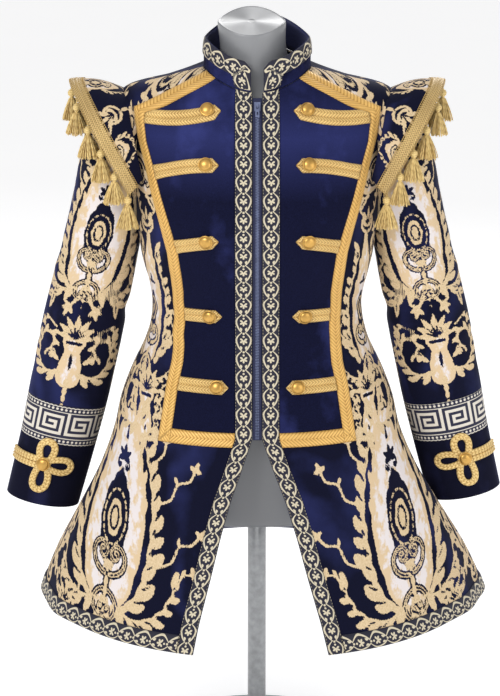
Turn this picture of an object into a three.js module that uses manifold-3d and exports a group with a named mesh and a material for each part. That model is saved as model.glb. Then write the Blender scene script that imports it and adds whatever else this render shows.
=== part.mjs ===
// A frogged stage jacket of velvet and brocade, worn by a limbless dress form on a low stand.
// Millimetres, +Z up, the front faces -Y, and the origin is on the floor under the post. Heights
// below are taken from a level STAND_RISE above the floor.
import * as THREE from "three";
import { mergeVertices } from "three/addons/utils/BufferGeometryUtils.js";
import Module from "manifold-3d";

const wasm = await Module();
wasm.setup();

// Cloth and its layers, as heights above the outer face of the panel below
const WALL = 2.2;
const SEAM_GAP = 0.36;
const VELVET_PLY = 1.0;
const TRIM_PLY = 1.5;
const BRAID_PLY = 2.4;
const BAR_LIFT = 2.7;
const BAR_PLY = 2.2;

// Widths along the cloth, and the heights that the trimmings are set at
const TRIM_WIDTH = 25;
const BRAID_WIDTH = 20;
const BAR_WIDTH = 20;
const GIMP_WIDTH = 17;
const ZIP_HALF = 7;
const ZIP_TOP = 990;
const ZIP_END = 503;
const HEM = 212;
const WAIST_BRAID_TOP = 512;
const WAIST_BRAID_FOOT = WAIST_BRAID_TOP - BRAID_WIDTH;

// Rings of the jacket's body from neckline to hem: heights at front, side and back,
// half the width, where the front, the sides and the back stand, and the middle
const BODY_COLUMNS = ["zFront", "zSide", "zBack", "half", "front", "side", "back", "power", "mid"];
const BODY = table(BODY_COLUMNS, [
  [996, 1024, 1050, 78, -66, 4, 66, 2.0, 0],
  [974, 1008, 1018, 138, -78, 9, 84, 2.0, 0],
  [940, 989, 992, 197, -94, 14, 100, 2.0, 0],
  [895, 935, 942, 191, -112, 12, 108, 2.1, 0],
  [850, 868, 880, 183, -130, 8, 110, 2.2, 0],
  [805, 808, 812, 178, -139, 3, 106, 2.2, 0],
  [750, 750, 750, 171, -127, 0, 98, 2.2, 0],
  [705, 705, 705, 160, -114, 0, 89, 2.15, 0],
  [665, 665, 665, 156, -108, 0, 84, 2.1, 0],
  [620, 620, 620, 166, -115, 0, 98, 2.1, 0],
  [575, 575, 575, 187, -127, 0, 118, 2.1, 0],
  [530, 530, 530, 205, -141, 0, 142, 2.1, 0],
  [485, 485, 485, 218, -158, 0, 166, 2.1, 0],
  [430, 431, 431, 243, -183, 2, 194, 2.1, 1],
  [370, 374, 372, 275, -209, 4, 224, 2.1, 2],
  [310, 317, 313, 303, -233, 8, 250, 2.1, 3],
  [255, 265, 258, 322, -254, 12, 271, 2.1, 4],
  [HEM, HEM + 13, HEM + 3, 335, -269, 16, 284, 2.1, 5],
]);

// Soft folds of the skirt: where they lie round the body in degrees from centre front,
// how wide and how deep they are at the hem, and the height where they die out
const FOLDS = table(["at", "wide", "deep", "start"], [
  [66, 7, 7, 470],
  [83, 10, 12, 520],
  [99, 9, -14, 560],
  [116, 8, 12, 540],
  [133, 8, -9, 480],
  [148, 8, 10, 520],
  [164, 7, -8, 460],
  [-63, 7, 6, 450],
  [-83, 10, 3, 530],
  [-99, 9, -14, 560],
  [-118, 8, 11, 520],
  [-134, 7, -8, 470],
  [-150, 9, 11, 530],
  [-166, 7, -7, 450],
]);

// The hollow that each hanging cuff presses into the skirt
const CUFF_DENT = { at: degrees(97), wide: degrees(15), z: 378, tall: 88, deep: -26 };

// How far each front edge stands from the centre line below the zip
const OPENING = table(["z", "x"], [
  [503, 7.2], [465, 22], [420, 41], [372, 57], [317, 73], [255, 92], [212, 103],
]);

// Outer edge of the side braid, as the distance from the centre line at each height
const BRAID_LINE = table(["z", "x"], [
  [972, 178], [930, 172], [897, 163], [852, 152], [806, 139], [770, 130],
  [711, 123], [664, 121], [634, 122], [604, 125], [570, 133], [492, 145],
]);
const BRAID_NECK_TURN = degrees(71);

// Frog bars: height at the pointed end and at the braid, how far the middle sags,
// and where the point and the button are
const BARS = table(["z", "zBraid", "sag", "tip", "button"], [
  [972, 961, 5, 52, 71],
  [899, 886, 2, 55, 73],
  [794, 781, -1, 55, 72],
  [676, 675, 0, 51, 68],
  [574, 575, 0, 42, 58],
]);
const BAR_POINT = 9;
const BAR_STEP = 22;
const BAR_END_HALF = 0.8;
const BAR_END_GAP = 1.4;
const BAR_RIDGES = [0.45, 1, 0.3, 1, 0.45];

// Stations of a sleeve from the shoulder to the cuff: centre, half width and depth, and slant
const SLEEVE = table(["z", "x", "halfX", "y", "halfY", "slant"], [
  [985, 170, 8, 14, 10, 0],
  [979, 183, 29, 14, 38, 0],
  [959, 191, 44, 14, 56, 0],
  [925, 199, 53, 14, 67, 0.02],
  [880, 206, 56, 15, 69, 0.05],
  [830, 215, 56, 16, 63, 0.09],
  [780, 226, 56, 18, 58, 0.13],
  [720, 239, 58, 20, 55, 0.16],
  [650, 254, 60, 23, 53, 0.18],
  [580, 268, 60, 26, 51, 0.19],
  [514, 281, 59, 29, 49, 0.2],
  [452, 294, 57, 31, 47, 0.2],
  [400, 306, 56, 33, 46, 0.2],
  [353, 317, 55, 34, 45, 0.2],
]);
// Each sleeve hangs a little its own way: how far its end swings out, is drawn up and set back
const HANG = { "-1": { swing: 13, rise: 0, back: 6 }, 1: { swing: 2, rise: 12, back: 4 } };
const BAND_START = 10;
const CUFF_START = 11;
const SLEEVE_SIDES = 16;

// Creases across a sleeve: how far down, how long and how deep they are
const SLEEVE_CREASES = table(["z", "tall", "deep", "at", "wide"], [
  [742, 17, -3.5, -60, 60],
  [668, 15, -4.5, 150, 70],
  [632, 14, -3, -100, 50],
  [560, 16, -3, 60, 55],
]);

// The stand collar and the dress form
const COLLAR_TOP = {
  zFront: 1040,
  zSide: 1067,
  zBack: 1096,
  half: 75,
  front: -62,
  side: 3,
  back: 64,
  power: 2,
  mid: 0,
};
const COLLAR_BOW = 2.5;
const COLLAR_GAP_HALF = 9;
const COLLAR_FOOT = 0.03;
const COLLAR_TRIM_END = 0.08;
const COLLAR_TRIM_FOOT = 0.46;
const COLLAR_CORNER = 0.22;
const COLLAR_CORNER_WIDTH = 12;
const COLLAR_CELLS = 22;
const FORM = table(BODY_COLUMNS, [
  [1076, 1090, 1105, 47, -44, 3, 49, 2.0, -8],
  [1073, 1087, 1102, 49.5, -46.5, 3, 51.5, 2.0, -8],
  [1038, 1053, 1066, 48, -43, 5, 54, 2.0, -6],
  [1000, 1026, 1040, 55, -48, 6, 57, 2.0, -3],
  [966, 998, 1008, 92, -62, 8, 70, 2.0, 0],
  [940, 978, 984, 142, -74, 10, 84, 2.0, 0],
  [915, 952, 956, 174, -90, 12, 92, 2.0, 0],
  [880, 908, 918, 177, -103, 11, 97, 2.1, 0],
  [846, 860, 870, 170, -118, 8, 98, 2.2, 0],
  [805, 808, 812, 166, -127, 3, 94, 2.2, 0],
  [750, 750, 750, 159, -115, 0, 86, 2.2, 0],
  [705, 705, 705, 148, -102, 0, 77, 2.15, 0],
  [665, 665, 665, 144, -96, 0, 72, 2.1, 0],
  [620, 620, 620, 153, -102, 0, 85, 2.1, 0],
  [575, 575, 575, 168, -111, 0, 99, 2.1, 0],
  [520, 520, 520, 180, -117, 0, 108, 2.1, 0],
  [460, 460, 460, 180, -117, 0, 108, 2.1, 0],
  [400, 400, 400, 170, -110, 0, 100, 2.1, 0],
  [358, 358, 358, 160, -103, 0, 92, 2.1, 0],
  [350, 350, 350, 154, -97, 0, 86, 2.1, 0],
]);
const FORM_FOOT = 350;
const FORM_SIDES = 20;
const POST_RADIUS = 14;
const POST_FLANGE = 46;
const BASE_RADIUS = 185;
const BASE_THICK = 14;
const STAND_RISE = 50;

// Shoulder wing: its seam on the armhole, and its free edge from the tip to each end
const WING_TURN = degrees(100);
const WING_SEAM = { x: 192, y: 13, z: 889, halfY: 79, halfZ: 100, draw: 27 };
const WING_EDGE = { x: 273, y: 15, z: 1003, inward: 89, reach: 94, fall: 152, full: 0.6 };
const WING_PLY = 2.6;
const WING_BULGE = 7;
const WING_CELLS = 16;
const TIP_ROUND = 0.16;

// Tassels
const TASSELS_PER_WING = 11;
const TASSEL_STRANDS = 6;
const TASSEL_SPREAD = 0.97;
const TASSEL_TWIST = 0.37;
const TASSEL = {
  cord: 2.4,
  drop: WING_PLY + 1.2,
  stem: 9,
  stemRadius: 1,
  head: 4.8,
  neck: 2.8,
  length: 56,
  uneven: 1.5,
  flare: 12,
  strand: 5,
};

// Buttons, cuff knots and the zip's slider
const BUTTON_RADIUS = 8.6;
const BUTTON_HEIGHT = 6.2;
const KNOT = {
  z: 421,
  turn: degrees(-79),
  reach: [42, 45, 36],
  swell: 11,
  part: 5,
  wide: 9,
  bar: 62,
  lift: 1.4,
  ply: 2.2,
  step: 0.3,
};
const SLIDER = {
  z: 978,
  half: 4.4,
  tall: 13,
  ply: 2.2,
  seat: 1.6,
  hinge: 3.1,
  hingeRise: 0.5,
  bridgeHalf: 1.1,
  bridgeDeep: 4.4,
  bridgeTall: 6.4,
};
const PULL = {
  half: 2.9,
  tall: 17,
  ply: 1.1,
  pin: 0.8,
  play: 0.45,
  arm: 1.0,
  armTall: 6,
  armDrop: 2.4,
  plateDrop: 5,
  holeHalf: 1.2,
  holeTall: 5,
};

// Lifts of the zip tape below the cloth, and its cells
const TAPE_TOP = -0.6;
const TAPE_FOOT = -1.8;
const TAPE_CELLS = 20;

function degrees(angle) {
  return (angle * Math.PI) / 180;
}

// Rows of numbers under named columns
function table(columns, rows) {
  return rows.map((row) => Object.fromEntries(row.map((value, k) => [columns[k], value])));
}

// A smooth curve through a table's rows, at any place between them
function rowAt(rows, place) {
  const k = Math.min(Math.max(Math.floor(place), 0), rows.length - 2);
  const t = place - k;
  const pick = (i) => rows[Math.min(Math.max(i, 0), rows.length - 1)];
  const [a, b, c, d] = [pick(k - 1), pick(k), pick(k + 1), pick(k + 2)];
  const out = {};
  for (const name of Object.keys(b)) {
    const slopeIn = (c[name] - a[name]) / 2;
    const slopeOut = (d[name] - b[name]) / 2;
    const rise = c[name] - b[name];
    out[name] =
      b[name] + t * (slopeIn + t * (3 * rise - 2 * slopeIn - slopeOut + t * (slopeIn + slopeOut - 2 * rise)));
  }
  return out;
}

// Straight-line reading of a table with falling heights
function readLine(rows, z, column) {
  let k = 0;
  while (k < rows.length - 2 && z < rows[k + 1].z) k += 1;
  const share = THREE.MathUtils.clamp((rows[k].z - z) / (rows[k].z - rows[k + 1].z), 0, 1);
  return THREE.MathUtils.lerp(rows[k][column], rows[k + 1][column], share);
}

// A point of a ring: turn 0 is centre front, positive towards +X, and half a turn is centre back
function ringPoint(ring, turn, out = 0) {
  const s = Math.sin(turn);
  const c = Math.cos(turn);
  const reach = (Math.abs(s) ** ring.power + Math.abs(c) ** ring.power) ** (-1 / ring.power);
  const towards = c > 0 ? ring.front : ring.back;
  const zTowards = c > 0 ? ring.zFront : ring.zBack;
  const share = Math.abs(reach * c);
  return new THREE.Vector3(
    ring.mid + ring.half * reach * s + out * s,
    ring.side + (towards - ring.side) * share - out * c,
    ring.zSide + (zTowards - ring.zSide) * share * share,
  );
}

function bump(away, wide) {
  return Math.exp(-((away / wide) ** 2));
}

// The difference of two turns, between minus and plus half a turn
function turnBetween(a, b) {
  return THREE.MathUtils.euclideanModulo(a - b + Math.PI, 2 * Math.PI) - Math.PI;
}

// How far the skirt's folds and the cuffs' hollows push the cloth out at a turn and height
function foldOut(turn, z) {
  let out = 0;
  for (const fold of FOLDS) {
    const fade = THREE.MathUtils.smoothstep(fold.start - z, 0, fold.start - HEM);
    out += fold.deep * fade * bump(turnBetween(turn, degrees(fold.at)), degrees(fold.wide));
  }
  const dent = CUFF_DENT;
  const reach = bump(turnBetween(turn, dent.at), dent.wide) + bump(turnBetween(turn, -dent.at), dent.wide);
  return out + dent.deep * reach * bump(z - dent.z, dent.tall);
}

function bodySkin(turn, place) {
  const ring = rowAt(BODY, place);
  return ringPoint(ring, turn, foldOut(turn, ring.zSide));
}

// The outward normal of a surface given by a function of two numbers
function normalOf(skin, a, b, step = 0.004) {
  const alongA = skin(a + step, b).sub(skin(a - step, b));
  const alongB = skin(a, b + step).sub(skin(a, b - step));
  return alongB.cross(alongA).normalize();
}

function bodyPoint(turn, place, lift = 0) {
  const inside = Math.min(Math.max(place, 0.01), BODY.length - 1.01);
  return bodySkin(turn, place).addScaledVector(normalOf(bodySkin, turn, inside), lift);
}

// The place between rings whose height at a turn is z
function placeAtHeight(z, turn = Math.PI / 2) {
  let low = 0;
  let high = BODY.length - 1;
  for (let n = 0; n < 40; n += 1) {
    const mid = (low + high) / 2;
    if (bodySkin(turn, mid).z > z) low = mid;
    else high = mid;
  }
  return (low + high) / 2;
}

// The turn on the front quarter of a ring where the cloth is x from the centre line
function turnAtX(place, x) {
  let low = 0;
  let high = Math.PI / 2;
  for (let n = 0; n < 40; n += 1) {
    const mid = (low + high) / 2;
    if (bodySkin(mid, place).x < x) low = mid;
    else high = mid;
  }
  return (low + high) / 2;
}

// The turn that lies a distance along the ring from another turn
function turnFrom(place, turn, distance) {
  const step = degrees(0.25) * Math.sign(distance);
  let left = Math.abs(distance);
  let here = turn;
  while (left > 0) {
    const gone = bodySkin(here + step, place).distanceTo(bodySkin(here, place));
    here += step * Math.min(left / gone, 1);
    left -= gone;
  }
  return here;
}

// Place and turn of the point of the front that has this x and height
function frontSpot(x, z) {
  let place = placeAtHeight(z, 0);
  let turn = 0;
  for (let n = 0; n < 12; n += 1) {
    turn = turnAtX(place, x);
    place = placeAtHeight(z, turn);
  }
  return { turn, place };
}

const CORNER = frontSpot(BRAID_LINE[0].x, BRAID_LINE[0].z);

// The turn of the braid's outer edge: along the shoulder down to the corner, then down the side
function braidTurn(place) {
  if (place <= CORNER.place) {
    return THREE.MathUtils.lerp(BRAID_NECK_TURN, CORNER.turn, place / CORNER.place);
  }
  let turn = CORNER.turn;
  for (let n = 0; n < 6; n += 1) {
    turn = turnAtX(place, readLine(BRAID_LINE, bodySkin(turn, place).z, "x"));
  }
  return turn;
}

// Turns of the front's columns on one ring: trim, plastron, braid and side
const PLASTRON_CELLS = 4;
const SIDE_CELLS = 4;
const BACK_CELLS = 10;
const TRIM_COLUMN = 1;
const BRAID_COLUMN = TRIM_COLUMN + PLASTRON_CELLS;
const SIDE_COLUMN = BRAID_COLUMN + 1;
const LAST_FRONT = SIDE_COLUMN + SIDE_CELLS;

function frontTurns(place) {
  const z = bodySkin(0, place).z;
  const edge = turnAtX(place, readLine(OPENING, z, "x"));
  const trim = turnFrom(place, edge, TRIM_WIDTH);
  const braidOut = braidTurn(place);
  const braidIn = turnFrom(place, braidOut, -BRAID_WIDTH);
  const turns = [edge];
  for (let k = 0; k < PLASTRON_CELLS; k += 1) {
    turns.push(THREE.MathUtils.lerp(trim, braidIn, k / PLASTRON_CELLS));
  }
  turns.push(braidIn);
  for (let k = 0; k <= SIDE_CELLS; k += 1) {
    turns.push(THREE.MathUtils.lerp(braidOut, Math.PI / 2, k / SIDE_CELLS));
  }
  return turns;
}

// Rows of the body's net: evenly spaced, with rows at the braid's corner, the waist braid and the hem trim
const ROWS_TO_WAIST = 11;
const ROWS_TO_HEM = 6;
const WAIST_TOP_PLACE = placeAtHeight(WAIST_BRAID_TOP);
const WAIST_FOOT_PLACE = placeAtHeight(WAIST_BRAID_FOOT);
const HEM_TRIM_PLACE = placeAtHeight(HEM + TRIM_WIDTH, 0);
const HEM_PLACE = BODY.length - 1;
const PLACE_INSET = 0.004;

function span(from, to, cells) {
  return Array.from({ length: cells + 1 }, (_, k) => THREE.MathUtils.lerp(from, to, k / cells));
}

const ROWS = [
  ...span(0, CORNER.place, 3),
  ...span(CORNER.place, WAIST_TOP_PLACE, ROWS_TO_WAIST).slice(1),
  ...span(WAIST_FOOT_PLACE, HEM_TRIM_PLACE, ROWS_TO_HEM),
  HEM_PLACE,
];
const CORNER_ROW = 3;
const WAIST_TOP_ROW = CORNER_ROW + ROWS_TO_WAIST;
const WAIST_FOOT_ROW = WAIST_TOP_ROW + 1;
const LAST_ROW = ROWS.length - 1;
const HEM_TRIM_ROW = LAST_ROW - 1;

// Turns of every column on every row, from the front edge to the centre back
const NET = ROWS.map((place) => {
  const front = frontTurns(place);
  const back = span(Math.PI / 2, Math.PI, BACK_CELLS).slice(1);
  return [...front, ...back];
});
const LAST_COLUMN = NET[0].length - 1;

// A point of the net, moved off the cloth and, at a piece's edge, in by half a seam's gap
function netPoint(side, row, column, lift, [rowInset, columnInset] = [0, 0]) {
  const place = THREE.MathUtils.clamp(ROWS[row] + rowInset * PLACE_INSET, 0, HEM_PLACE);
  const turn = NET[row][column];
  const inset = columnInset ? turnFrom(place, turn, (columnInset * SEAM_GAP) / 2) : turn;
  return bodyPoint(side * inset, place, lift);
}

// Geometry from a list of points and triangles, turned so that its faces point out
function geometryOf(points, triangles) {
  let volume = 0;
  const corner = new THREE.Vector3();
  for (const [a, b, c] of triangles) {
    volume += points[a].dot(corner.crossVectors(points[b], points[c]));
  }
  const order = volume < 0 ? ([a, b, c]) => [a, c, b] : (t) => t;
  const geometry = new THREE.BufferGeometry();
  geometry.setAttribute("position", new THREE.Float32BufferAttribute(points.flatMap((p) => p.toArray()), 3));
  geometry.setIndex(triangles.flatMap(order));
  return geometry;
}

// A closed wall over a grid: outer and inner give the points of its two faces
function wall(rows, columns, outer, inner) {
  const points = [];
  for (const face of [outer, inner]) {
    for (let i = 0; i <= rows; i += 1) {
      for (let j = 0; j <= columns; j += 1) points.push(face(i, j));
    }
  }
  const at = (face, i, j) => face * (rows + 1) * (columns + 1) + i * (columns + 1) + j;
  const triangles = [];
  const quad = (a, b, c, d) => triangles.push([a, b, c], [a, c, d]);
  for (let i = 0; i < rows; i += 1) {
    for (let j = 0; j < columns; j += 1) {
      quad(at(0, i, j), at(0, i + 1, j), at(0, i + 1, j + 1), at(0, i, j + 1));
      quad(at(1, i, j), at(1, i, j + 1), at(1, i + 1, j + 1), at(1, i + 1, j));
    }
  }
  for (let i = 0; i < rows; i += 1) {
    quad(at(0, i, 0), at(1, i, 0), at(1, i + 1, 0), at(0, i + 1, 0));
    quad(at(0, i, columns), at(0, i + 1, columns), at(1, i + 1, columns), at(1, i, columns));
  }
  for (let j = 0; j < columns; j += 1) {
    quad(at(0, 0, j), at(0, 0, j + 1), at(1, 0, j + 1), at(1, 0, j));
    quad(at(0, rows, j), at(1, rows, j), at(1, rows, j + 1), at(0, rows, j + 1));
  }
  return geometryOf(points, triangles);
}

// A closed solid through rings of points, capped at both ends
function loft(rings) {
  const sides = rings[0].length;
  const points = rings.flat();
  const triangles = [];
  for (let i = 0; i + 1 < rings.length; i += 1) {
    for (let j = 0; j < sides; j += 1) {
      const [a, b] = [i * sides + j, i * sides + ((j + 1) % sides)];
      triangles.push([a, b, b + sides], [a, b + sides, a + sides]);
    }
  }
  const last = points.length - sides;
  for (const start of [0, last]) {
    const hub = new THREE.Vector3();
    for (let j = 0; j < sides; j += 1) hub.addScaledVector(points[start + j], 1 / sides);
    points.push(hub);
    for (let j = 0; j < sides; j += 1) {
      const [a, b] = [start + j, start + ((j + 1) % sides)];
      triangles.push(start ? [a, b, points.length - 1] : [b, a, points.length - 1]);
    }
  }
  return geometryOf(points, triangles);
}

// A tube's wall through matching outer and inner rings, open at both ends
function tubeWall(outer, inner) {
  const sides = outer[0].length;
  const rows = outer.length - 1;
  const points = [...outer.flat(), ...inner.flat()];
  const at = (face, i, j) => face * (rows + 1) * sides + i * sides + (j % sides);
  const triangles = [];
  const quad = (a, b, c, d) => triangles.push([a, b, c], [a, c, d]);
  for (let j = 0; j < sides; j += 1) {
    for (let i = 0; i < rows; i += 1) {
      quad(at(0, i, j), at(0, i + 1, j), at(0, i + 1, j + 1), at(0, i, j + 1));
      quad(at(1, i, j), at(1, i, j + 1), at(1, i + 1, j + 1), at(1, i + 1, j));
    }
    quad(at(0, 0, j), at(0, 0, j + 1), at(1, 0, j + 1), at(1, 0, j));
    quad(at(0, rows, j), at(1, rows, j), at(1, rows, j + 1), at(0, rows, j + 1));
  }
  return geometryOf(points, triangles);
}

function solidOf(geometry) {
  const bare = geometry.clone();
  bare.deleteAttribute("normal");
  bare.deleteAttribute("uv");
  const merged = mergeVertices(bare, 1e-4);
  return new wasm.Manifold(
    new wasm.Mesh({
      numProp: 3,
      vertProperties: merged.attributes.position.array,
      triVerts: new Uint32Array(merged.index.array),
    }),
  );
}

function geometryFrom(solid) {
  const mesh = solid.getMesh();
  const geometry = new THREE.BufferGeometry();
  geometry.setAttribute("position", new THREE.BufferAttribute(Float32Array.from(mesh.vertProperties), 3));
  geometry.setIndex(new THREE.BufferAttribute(Uint32Array.from(mesh.triVerts), 1));
  return geometry;
}

// The largest connected piece of a solid, so that a cut leaves no crumbs
function largest(solid) {
  return solid.decompose().reduce((best, piece) => (piece.volume() > best.volume() ? piece : best));
}

function union(geometries) {
  return largest(geometries.map(solidOf).reduce((sum, solid) => sum.add(solid)));
}

// Materials, as plain colours
const material = (color, roughness, metalness = 0) => new THREE.MeshStandardMaterial({ color, roughness, metalness });
const VELVET = material(0x1b1f4a, 0.85);
const BROCADE = material(0x55527a, 0.8);
const TRIM = material(0x4a4658, 0.75);
const KEY_BAND = material(0x8d8a92, 0.75);
const BRAID = material(0xe3b04b, 0.45, 0.3);
const GIMP = material(0xcda75a, 0.5, 0.3);
const THREAD = material(0xdcbc72, 0.6);
const METAL = material(0xd9a441, 0.25, 0.9);
const TAPE = material(0x3b4478, 0.8);
const ZIP_METAL = material(0x5b6690, 0.35, 0.7);
const FORM_GREY = material(0x9a9b9e, 0.5);
const STAND_GREY = material(0x8c8d90, 0.35, 0.6);

const jacket = new THREE.Group();
jacket.position.z = STAND_RISE;

function add(name, geometry, finish) {
  const mesh = new THREE.Mesh(geometry, finish);
  mesh.name = name;
  jacket.add(mesh);
}

const SIDES = [
  { name: "left", sign: -1 },
  { name: "right", sign: 1 },
];

// A closed piece over blocks of a net's cells. A block is [first row, last row, first column,
// last column], and pointAt gives the outer (1) and inner (0) point of a corner with its inset.
function cellPiece(blocks, pointAt) {
  const inPiece = (row, column) =>
    blocks.some(([r0, r1, c0, c1]) => row >= r0 && row < r1 && column >= c0 && column < c1);
  const around = [[-1, -1], [-1, 0], [0, -1], [0, 0]];
  const insetAt = (row, column) => {
    const here = around.filter(([r, c]) => inPiece(row + r, column + c));
    const rows = here.reduce((sum, [r]) => sum + 2 * r + 1, 0);
    const columns = here.reduce((sum, [, c]) => sum + 2 * c + 1, 0);
    return [Math.sign(rows), Math.sign(columns)];
  };
  const points = [];
  const index = new Map();
  const corner = (row, column) => {
    const key = `${row},${column}`;
    if (!index.has(key)) {
      index.set(key, points.length);
      const inset = insetAt(row, column);
      points.push(pointAt(row, column, 1, inset), pointAt(row, column, 0, inset));
    }
    return index.get(key);
  };
  const triangles = [];
  const rim = (a, b) => triangles.push([a, a + 1, b + 1], [a, b + 1, b]);
  const rowEnd = Math.max(...blocks.map((block) => block[1]));
  const columnEnd = Math.max(...blocks.map((block) => block[3]));
  for (let row = 0; row < rowEnd; row += 1) {
    for (let column = 0; column < columnEnd; column += 1) {
      if (!inPiece(row, column)) continue;
      const [a, b] = [corner(row, column), corner(row + 1, column)];
      const [c, d] = [corner(row + 1, column + 1), corner(row, column + 1)];
      triangles.push([a, b, c], [a, c, d], [a + 1, c + 1, b + 1], [a + 1, d + 1, c + 1]);
      if (!inPiece(row, column - 1)) rim(a, b);
      if (!inPiece(row + 1, column)) rim(b, c);
      if (!inPiece(row, column + 1)) rim(c, d);
      if (!inPiece(row - 1, column)) rim(d, a);
    }
  }
  return geometryOf(points, triangles);
}

// A closed piece of the body's net between two heights above the cloth
function netPiece(sign, blocks, low, high) {
  return cellPiece(blocks, (row, column, face, inset) => netPoint(sign, row, column, face ? high : low, inset));
}

// One half of the body as a closed solid, for trimming what stands against it
function bodyHalf(sign, lift) {
  const ring = (row) => NET[row].map((turn) => bodyPoint(sign * turn, ROWS[row], lift));
  return solidOf(loft(ROWS.map((_, row) => ring(row))));
}

// A point of a sleeve at a station and a turn from its outer side, at a height above its cloth
function sleevePoint(sign, station, turn, lift) {
  const at = rowAt(SLEEVE, station);
  let out = lift;
  for (const crease of SLEEVE_CREASES) {
    const across = bump(turnBetween(turn, degrees(crease.at)), degrees(crease.wide));
    out += crease.deep * across * bump(at.z - crease.z, crease.tall);
  }
  const x = (at.halfX + out) * Math.cos(turn);
  const hang = ((SLEEVE[0].z - at.z) / (SLEEVE[0].z - SLEEVE.at(-1).z)) ** 2;
  const { swing, rise, back } = HANG[sign];
  return new THREE.Vector3(
    sign * (at.x + x + swing * hang),
    at.y + (at.halfY + out) * Math.sin(turn) + back * hang,
    at.z + at.slant * x + rise * hang,
  );
}

// Rings of one sleeve between two stations
function sleeveRings(sign, stations, lift) {
  const turns = span(0, 2 * Math.PI, SLEEVE_SIDES).slice(0, -1);
  return stations.map((station) => turns.map((turn) => sleevePoint(sign, station, turn, lift)));
}

const SLEEVE_STATIONS = span(0, BAND_START, 10);
const SEAM_STEP = 0.005;

function sleeveWall(sign, from, to, cells) {
  const stations = span(from + SEAM_STEP, to - SEAM_STEP, cells);
  return tubeWall(sleeveRings(sign, stations, 0), sleeveRings(sign, stations, -WALL));
}

// Fronts, backs and sleeves, with the armhole where the sleeve's hollow meets the body
function addCloth() {
  for (const { name, sign } of SIDES) {
    const hollow = solidOf(loft(sleeveRings(sign, SLEEVE_STATIONS, -WALL)));
    const front = netPiece(sign, [[0, LAST_ROW, 0, LAST_FRONT]], -WALL, 0);
    const back = netPiece(sign, [[0, LAST_ROW, LAST_FRONT, LAST_COLUMN]], -WALL, 0);
    add(`front_${name}`, geometryFrom(largest(solidOf(front).subtract(hollow))), BROCADE);
    add(`back_${name}`, geometryFrom(largest(solidOf(back).subtract(hollow))), BROCADE);
    const tube = tubeWall(sleeveRings(sign, SLEEVE_STATIONS, 0), sleeveRings(sign, SLEEVE_STATIONS, -WALL));
    const sleeve = solidOf(tube).subtract(bodyHalf(sign, SEAM_GAP));
    add(`sleeve_${name}`, geometryFrom(largest(sleeve)), BROCADE);
    add(`key_band_${name}`, sleeveWall(sign, BAND_START, CUFF_START, 2), KEY_BAND);
    add(`cuff_${name}`, sleeveWall(sign, CUFF_START, SLEEVE.length - 1, 3), VELVET);
  }
}

// What is sewn flat on the fronts and round the hem. The braid runs down the shoulder and
// the side as one mitred strip, then in along the waist to the trim.
function addFacings() {
  const low = SEAM_GAP;
  const plastron = [[0, WAIST_TOP_ROW, TRIM_COLUMN, BRAID_COLUMN]];
  const edge = [[0, LAST_ROW, 0, TRIM_COLUMN]];
  const hem = [[HEM_TRIM_ROW, LAST_ROW, TRIM_COLUMN, LAST_COLUMN]];
  const braid = [
    [0, WAIST_FOOT_ROW, BRAID_COLUMN, SIDE_COLUMN],
    [WAIST_TOP_ROW, WAIST_FOOT_ROW, TRIM_COLUMN, BRAID_COLUMN],
  ];
  for (const { name, sign } of SIDES) {
    add(`plastron_${name}`, netPiece(sign, plastron, low, low + VELVET_PLY), VELVET);
    add(`front_trim_${name}`, netPiece(sign, edge, low, low + TRIM_PLY), TRIM);
    add(`hem_trim_${name}`, netPiece(sign, hem, low, low + TRIM_PLY), TRIM);
    add(`braid_${name}`, netPiece(sign, braid, low, low + BRAID_PLY), BRAID);
  }
}

// The cell corners and shares of the front net that lie over a point, seen from the front
function cellOver(sign, x, z) {
  const spot = new THREE.Vector2(x, z);
  const flat = (row, column) => {
    const p = netPoint(sign, row, column, 0);
    return new THREE.Vector2(sign * p.x, p.z);
  };
  const cross = (a, b, c) => (b.x - a.x) * (c.y - a.y) - (b.y - a.y) * (c.x - a.x);
  for (let row = 0; row < WAIST_FOOT_ROW; row += 1) {
    for (let column = 0; column < SIDE_COLUMN; column += 1) {
      for (const corners of [
        [[row, column], [row + 1, column], [row + 1, column + 1]],
        [[row, column], [row + 1, column + 1], [row, column + 1]],
      ]) {
        const [a, b, c] = corners.map(([r, k]) => flat(r, k));
        const whole = cross(a, b, c);
        const shares = [cross(spot, b, c) / whole, cross(a, spot, c) / whole, cross(a, b, spot) / whole];
        if (Math.min(...shares) >= 0) return { corners, shares };
      }
    }
  }
  throw new Error(`no cloth at ${x}, ${z}`);
}

// A point on the front at x and height, moved off it with the cell that it lies on
function onFront(sign, x, z, lift) {
  const { corners, shares } = cellOver(sign, x, z);
  const point = new THREE.Vector3();
  corners.forEach(([row, column], k) => point.addScaledVector(netPoint(sign, row, column, lift), shares[k]));
  return point;
}

function frontNormal(sign, x, z) {
  return onFront(sign, x, z, 1).sub(onFront(sign, x, z, 0)).normalize();
}

// A domed button standing on a point, its axis along the normal
function button(point, normal) {
  const foot = 0.45 * BUTTON_RADIUS;
  const profile = [
    [0, 0],
    [foot, 0],
    [foot, 1.2],
    [BUTTON_RADIUS, 2.0],
    [0.86 * BUTTON_RADIUS, 0.68 * BUTTON_HEIGHT],
    [0.5 * BUTTON_RADIUS, 0.93 * BUTTON_HEIGHT],
    [0, BUTTON_HEIGHT],
  ].map(([r, h]) => new THREE.Vector2(r, h));
  const geometry = new THREE.LatheGeometry(profile, 8);
  const turn = new THREE.Quaternion().setFromUnitVectors(new THREE.Vector3(0, 1, 0), normal);
  geometry.applyQuaternion(turn).translate(point.x, point.y, point.z);
  return geometryFrom(solidOf(geometry));
}

// How far from the centre line a column of the net runs at a height
function columnX(column, z) {
  const line = ROWS.map((_, row) => netPoint(1, row, column, 0)).map((p) => ({ z: p.z, x: p.x }));
  return readLine(line, z, "x");
}

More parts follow.
